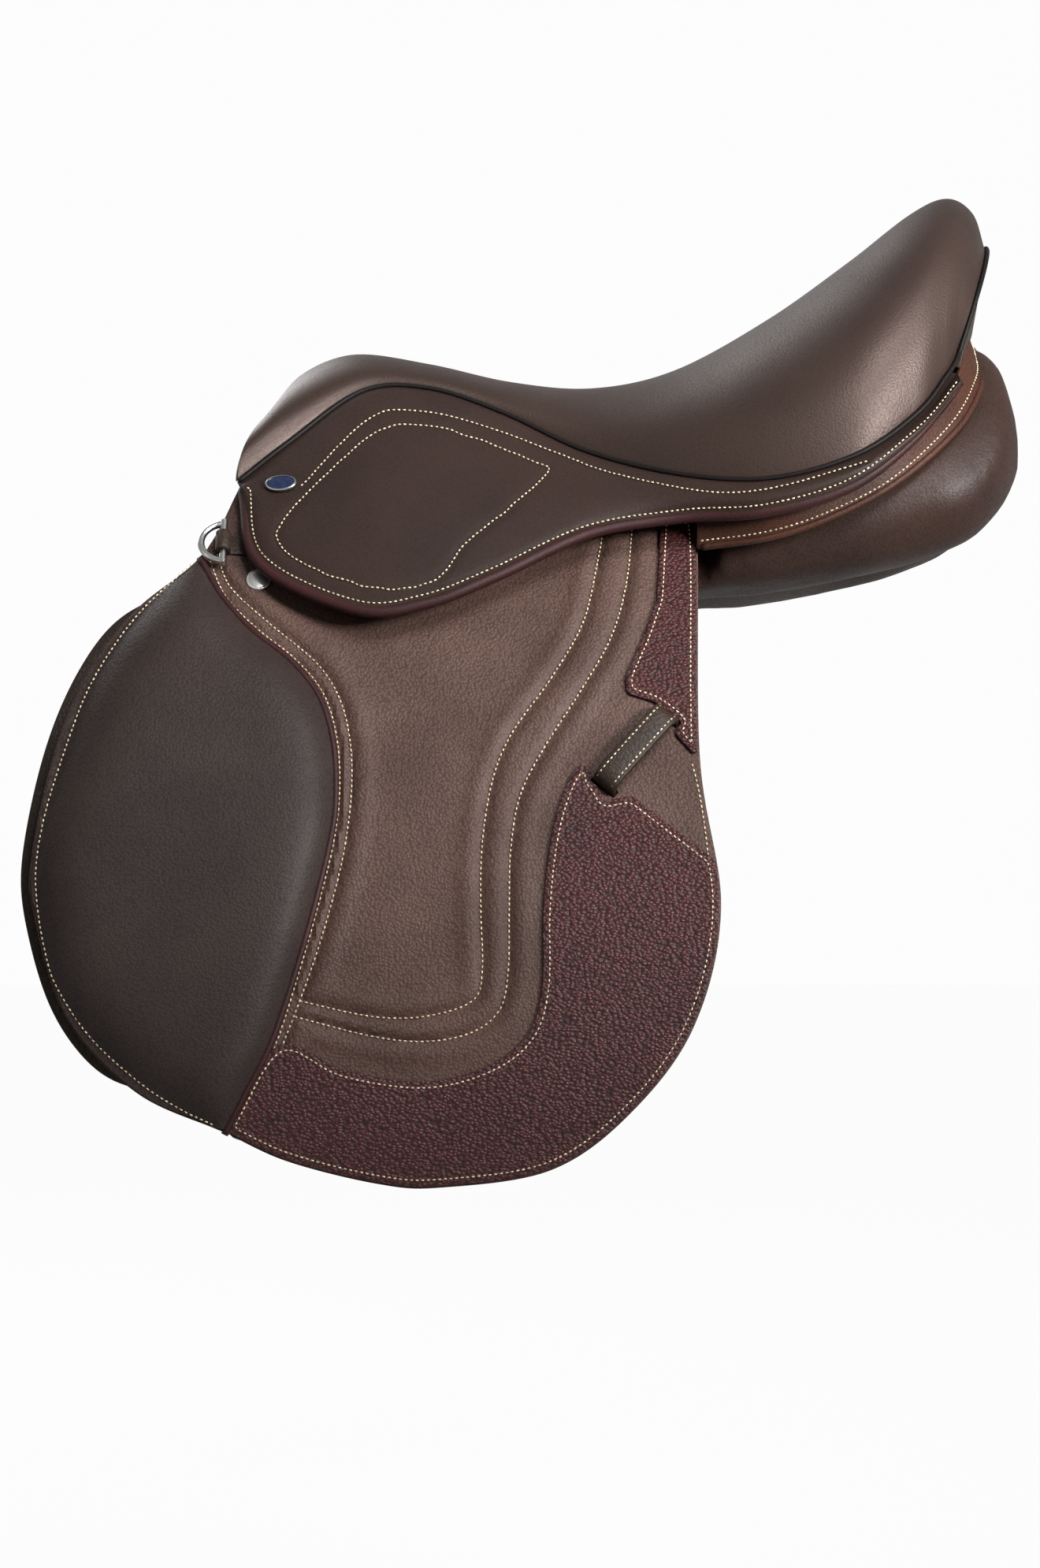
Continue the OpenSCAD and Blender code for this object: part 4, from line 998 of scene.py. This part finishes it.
# %% [markdown]
# The rear band joins panel and seat behind the skirt, and a piece of calf closes the cantle's back.

# %% Rear band and cantle back
BAND = [[.60, .91, -.57, 1], [.698, .985, -.494, 1], [.78, .985, -.329, 1], [.862, .925, -.067, 1],
        [.942, .775, .336, 1.5], [.978, .605, .66, 1.75], [.986, .39, .88, 1.4], [.986, .18, 1.04, 1.1],
        [.986, 0, 1.1, .95]]
BAND_TALL, BAND_LEAN, BAND_SEWN, SEWN_RISE = 15, 7, 4.2, 4


def band_up(point):
    return Vector((point[0] - 60, point[1]*1.2, 0)).normalized()


def band_at(u, v):
    x, y, z, tall = along(BAND, u)
    place = np.array([SEAT_FRONT + x*SEAT_LEN, -y*SEAT_HALF, z*SKIRT_DROP + (1 - v)*BAND_TALL*tall])
    return place - np.array(band_up(place)) * BAND_LEAN*(1 - v)*ramp(u, .4, .2)


def band_line(u, up):
    return band_at(u, 1 - up / (BAND_TALL*along(BAND, u)[3]))


def ride_saddle(piece, side):
    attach(piece, "saddle")


def rear_band(piece, side):
    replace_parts(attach(piece, "saddle"), f"rear_band_{side}")


band = sheet(130, 10, band_at)
faced(band, lambda c: band_up(c / MM))
both_sides(band, "rear_band_leather", BAND_HIDE, rear_band, thick=3.0, edge=0.9)
band_seam = [band_line(u, BAND_SEWN + SEWN_RISE*ramp(u, .35, .2)) for u in np.linspace(.005, .98, 160)]
band_sewn = bmesh.new()
stitch(band_sewn, band_seam, band_up)
both_sides(band_sewn, "band_stitching", THREAD, ride_saddle)
band_edge = bmesh.new()
tube(band_edge, evenly([band_line(u, .8) for u in np.linspace(.01, 1, 160)], 2.2), 1.9)
both_sides(band_edge, "rear_band_roll", BAND_HIDE, ride_saddle)

BACK_MID, BACK_END = np.array([.985, 0, 1.24]), np.array([.95, .69, .84])


def back_place(s, v):
    t = 2*s - 1
    high = seat_top(1, t*.985, 1.2) + np.array([.8, 0, 0])
    x, _, z = BACK_MID + (BACK_END - BACK_MID)*t*t
    low = np.array([SEAT_FRONT + x*SEAT_LEN, t*BACK_END[1]*SEAT_HALF, z*SKIRT_DROP])
    return high + (low - high)*v


back = sheet(60, 24, back_place)
faced(back, lambda c: Vector((1, 0, 0)))
back_piece = made(back, "cantle_back_leather", SEAT_CALF, thick=3.0, edge=0.8)
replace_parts(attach(back_piece, "saddle"), "cantle_back")
print("band and cantle back done")

# %% [markdown]
# ## Metal
# Studs and badges are pressed: a domed head with a rolled rim. Each is a profile spun round its axis.

# %% Stud and badge
STUD = [(0, 2.7), (3.5, 2.55), (5.0, 2.2), (5.6, 1.9), (6.1, 2.2), (6.5, 1.6), (6.5, .3), (2, .3),
        (2, -5), (0, -5)]
STUD_X, STUD_Z = -164, -57
BADGE = [(0, 2.2), (5, 1.9), (6.8, 1.55), (7.2, 1.5), (7.6, 2.0), (8.2, 1.9), (8.5, 1.2), (8.5, 0), (0, 0)]
BADGE_U, BADGE_V, BADGE_RIM, BADGE_OVAL = .085, .36, 7.4, .65


def turned(profile, place, up, across, oval=1, rim=99.0):
    bm = bmesh.new()
    verts = [bm.verts.new((r, 0, h)) for r, h in profile]
    edges = [bm.edges.new(pair) for pair in zip(verts, verts[1:])]
    bmesh.ops.spin(bm, geom=verts + edges, axis=(0, 0, 1), cent=(0, 0, 0), angle=2*math.pi, steps=40,
                   use_merge=True)
    bmesh.ops.remove_doubles(bm, verts=bm.verts, dist=0.0005)
    bmesh.ops.recalc_face_normals(bm, faces=bm.faces)
    for face in bm.faces:
        middle = face.calc_center_median()
        face.material_index = int(math.hypot(middle.x, middle.y) > rim or middle.z < 1)
    bmesh.ops.scale(bm, vec=(1, oval, 1), verts=bm.verts)
    z = Vector(up).normalized()
    y = z.cross(Vector(across)).normalized()
    turn = Matrix((y.cross(z), y, z)).transposed().to_4x4()
    bm.transform(Matrix.Scale(MM, 4) @ Matrix.Translation(Vector(place)) @ turn)
    return bm


def pommel_stud(stud, side):
    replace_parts(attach(stud, "saddle"), "pommel_studs")


def skirt_badge(badge, side):
    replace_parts(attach(badge, "saddle"), "skirt_badges")


stud_bm = turned(STUD, on_barrel(STUD_X, STUD_Z) / MM, out_of_barrel(STUD_Z), (1, 0, 0))
both_sides(stud_bm, "pommel_stud", [BRUSHED, BRUSHED], pommel_stud)
badge_out = skirt_out(BADGE_U, BADGE_V)
badge_spot = skirt_at(BADGE_U, BADGE_V) + .7*badge_out
badge_bm = turned(BADGE, badge_spot, badge_out, (1, 0, -.05), BADGE_OVAL, BADGE_RIM)
both_sides(badge_bm, "skirt_badge", [ENAMEL, STEEL], skirt_badge)

# %% [markdown]
# The metal and wood inside are already the right shape in the solids, so they only get their finish.

# %% Finishes of the solids that stay
KEPT = {"tree_frame": BEECH, "tree_points": BEECH, "gullet_plate": FORGED, "spring_rails": FORGED,
        "tree_rivets": STEEL, "bar_rivets": STEEL, "catch_pins": STEEL}
for side in ("left", "right"):
    KEPT.update({f"stirrup_bar_{side}": FORGED, f"bar_catch_{side}": STEEL, f"front_ring_{side}": STEEL})
for node, material in KEPT.items():
    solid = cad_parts[node]
    solid.data.materials.clear()
    solid.data.materials.append(material)
print("finished", len(KEPT), "solids")

# %% [markdown]
# ## Studio
# A white sweep that is clear from below, a little light all round and five soft lamps. A key lamp from
# above and a low one from the right light the side in the photograph. A weak one fills from the left,
# and two behind light the rim and the other side.

# %% Floor and world
FLOOR_Z, FLOOR_WHITE, FLOOR_SHINE = -0.62, 0.965, 0.45
SKY_LIGHT, SKY_WHITE, SKY_SHINE = 0.095, 0.98, 0.28


def looked_at(material, shine):
    rays = add(material, "LightPath").outputs
    open_view = add(material, "Math", {0: rays["Is Camera Ray"], 1: rays["Is Transmission Ray"]},
                    operation="MAXIMUM")
    mirrored = add(material, "Math", {0: rays["Is Glossy Ray"], 1: shine}, operation="MULTIPLY")
    seen = add(material, "Math", {0: open_view.outputs[0], 1: mirrored.outputs[0]}, operation="MAXIMUM")
    return seen.outputs[0]


sweep, floor_shader = started("white_sweep")
floor_shader.inputs["Base Color"].default_value = dye("#c9c9c6")
floor_shader.inputs["Roughness"].default_value = 0.9
share = add(sweep, "Math", {0: looked_at(sweep, FLOOR_SHINE), 1: FLOOR_WHITE}, operation="MULTIPLY")
white = add(sweep, "Emission", {"Color": (1, 1, 1, 1), "Strength": 1.0})
both = add(sweep, "MixShader", {0: share.outputs[0], 1: floor_shader.outputs[0], 2: white.outputs[0]})
under = add(sweep, "NewGeometry").outputs["Backfacing"]
clear = add(sweep, "BsdfTransparent")
ground_look = add(sweep, "MixShader", {0: under, 1: both.outputs[0], 2: clear.outputs[0]})
sweep.node_tree.links.new(ground_look.outputs[0], sweep.node_tree.nodes["Material Output"].inputs["Surface"])
ground = bmesh.new()
bmesh.ops.create_grid(ground, x_segments=2, y_segments=2, size=8.0)
bmesh.ops.translate(ground, vec=(0, 0, FLOOR_Z), verts=ground.verts)
made(ground, "studio_floor", sweep)

world = bpy.data.worlds.new("studio")
bpy.context.scene.world = world
world.use_nodes = True
backdrop = world.node_tree.nodes["Background"]
backdrop.inputs["Color"].default_value = (1, 1, 1, 1)
sky = looked_at(world, SKY_SHINE)
level = add(world, "MapRange", {"Value": sky, "To Min": SKY_LIGHT, "To Max": SKY_WHITE})
world.node_tree.links.new(level.outputs[0], backdrop.inputs["Strength"])
print("floor and world done")

# %% Lamps and camera
SENSOR = 24.0


def lamp(name, place, aim, size, power, cone=180):
    data = bpy.data.lights.new(name, "AREA")
    data.shape, data.size, data.energy, data.spread = "DISK", size, power, math.radians(cone)
    light = bpy.data.objects.new(name, data)
    light.location = place
    light.rotation_euler = (Vector(aim) - Vector(place)).to_track_quat("-Z", "Y").to_euler()
    bpy.context.scene.collection.objects.link(light)


lamp("key", (.6, -1.45, 1.25), (.02, -.1, .13), .9, 2.45, 42)
lamp("right", (1.5, -1.55, .42), (.16, -.1, .09), .6, 3.8, 36)
lamp("back", (-1.0, 1.0, 1.5), (.1, 0, .1), 1.0, 6)
lamp("left", (-1.8, -1.3, .5), (0, 0, -.1), 1.2, 2.2)
lamp("far", (-1.2, 1.6, 1.0), (0, .1, -.05), 1.6, 22)

camera_data = bpy.data.cameras.new("camera")
camera_data.sensor_fit, camera_data.sensor_height = "VERTICAL", SENSOR
camera_data.lens = SENSOR * EYE_FAR / (PIXEL * PHOTO_TALL)
camera = bpy.data.objects.new("camera", camera_data)
camera.location = (EYE_X*MM, -EYE_FAR*MM, EYE_Z*MM)
camera.rotation_euler = (math.pi/2, 0, 0)
bpy.context.scene.collection.objects.link(camera)
bpy.context.scene.camera = camera
bpy.context.scene.view_settings.view_transform = "Standard"
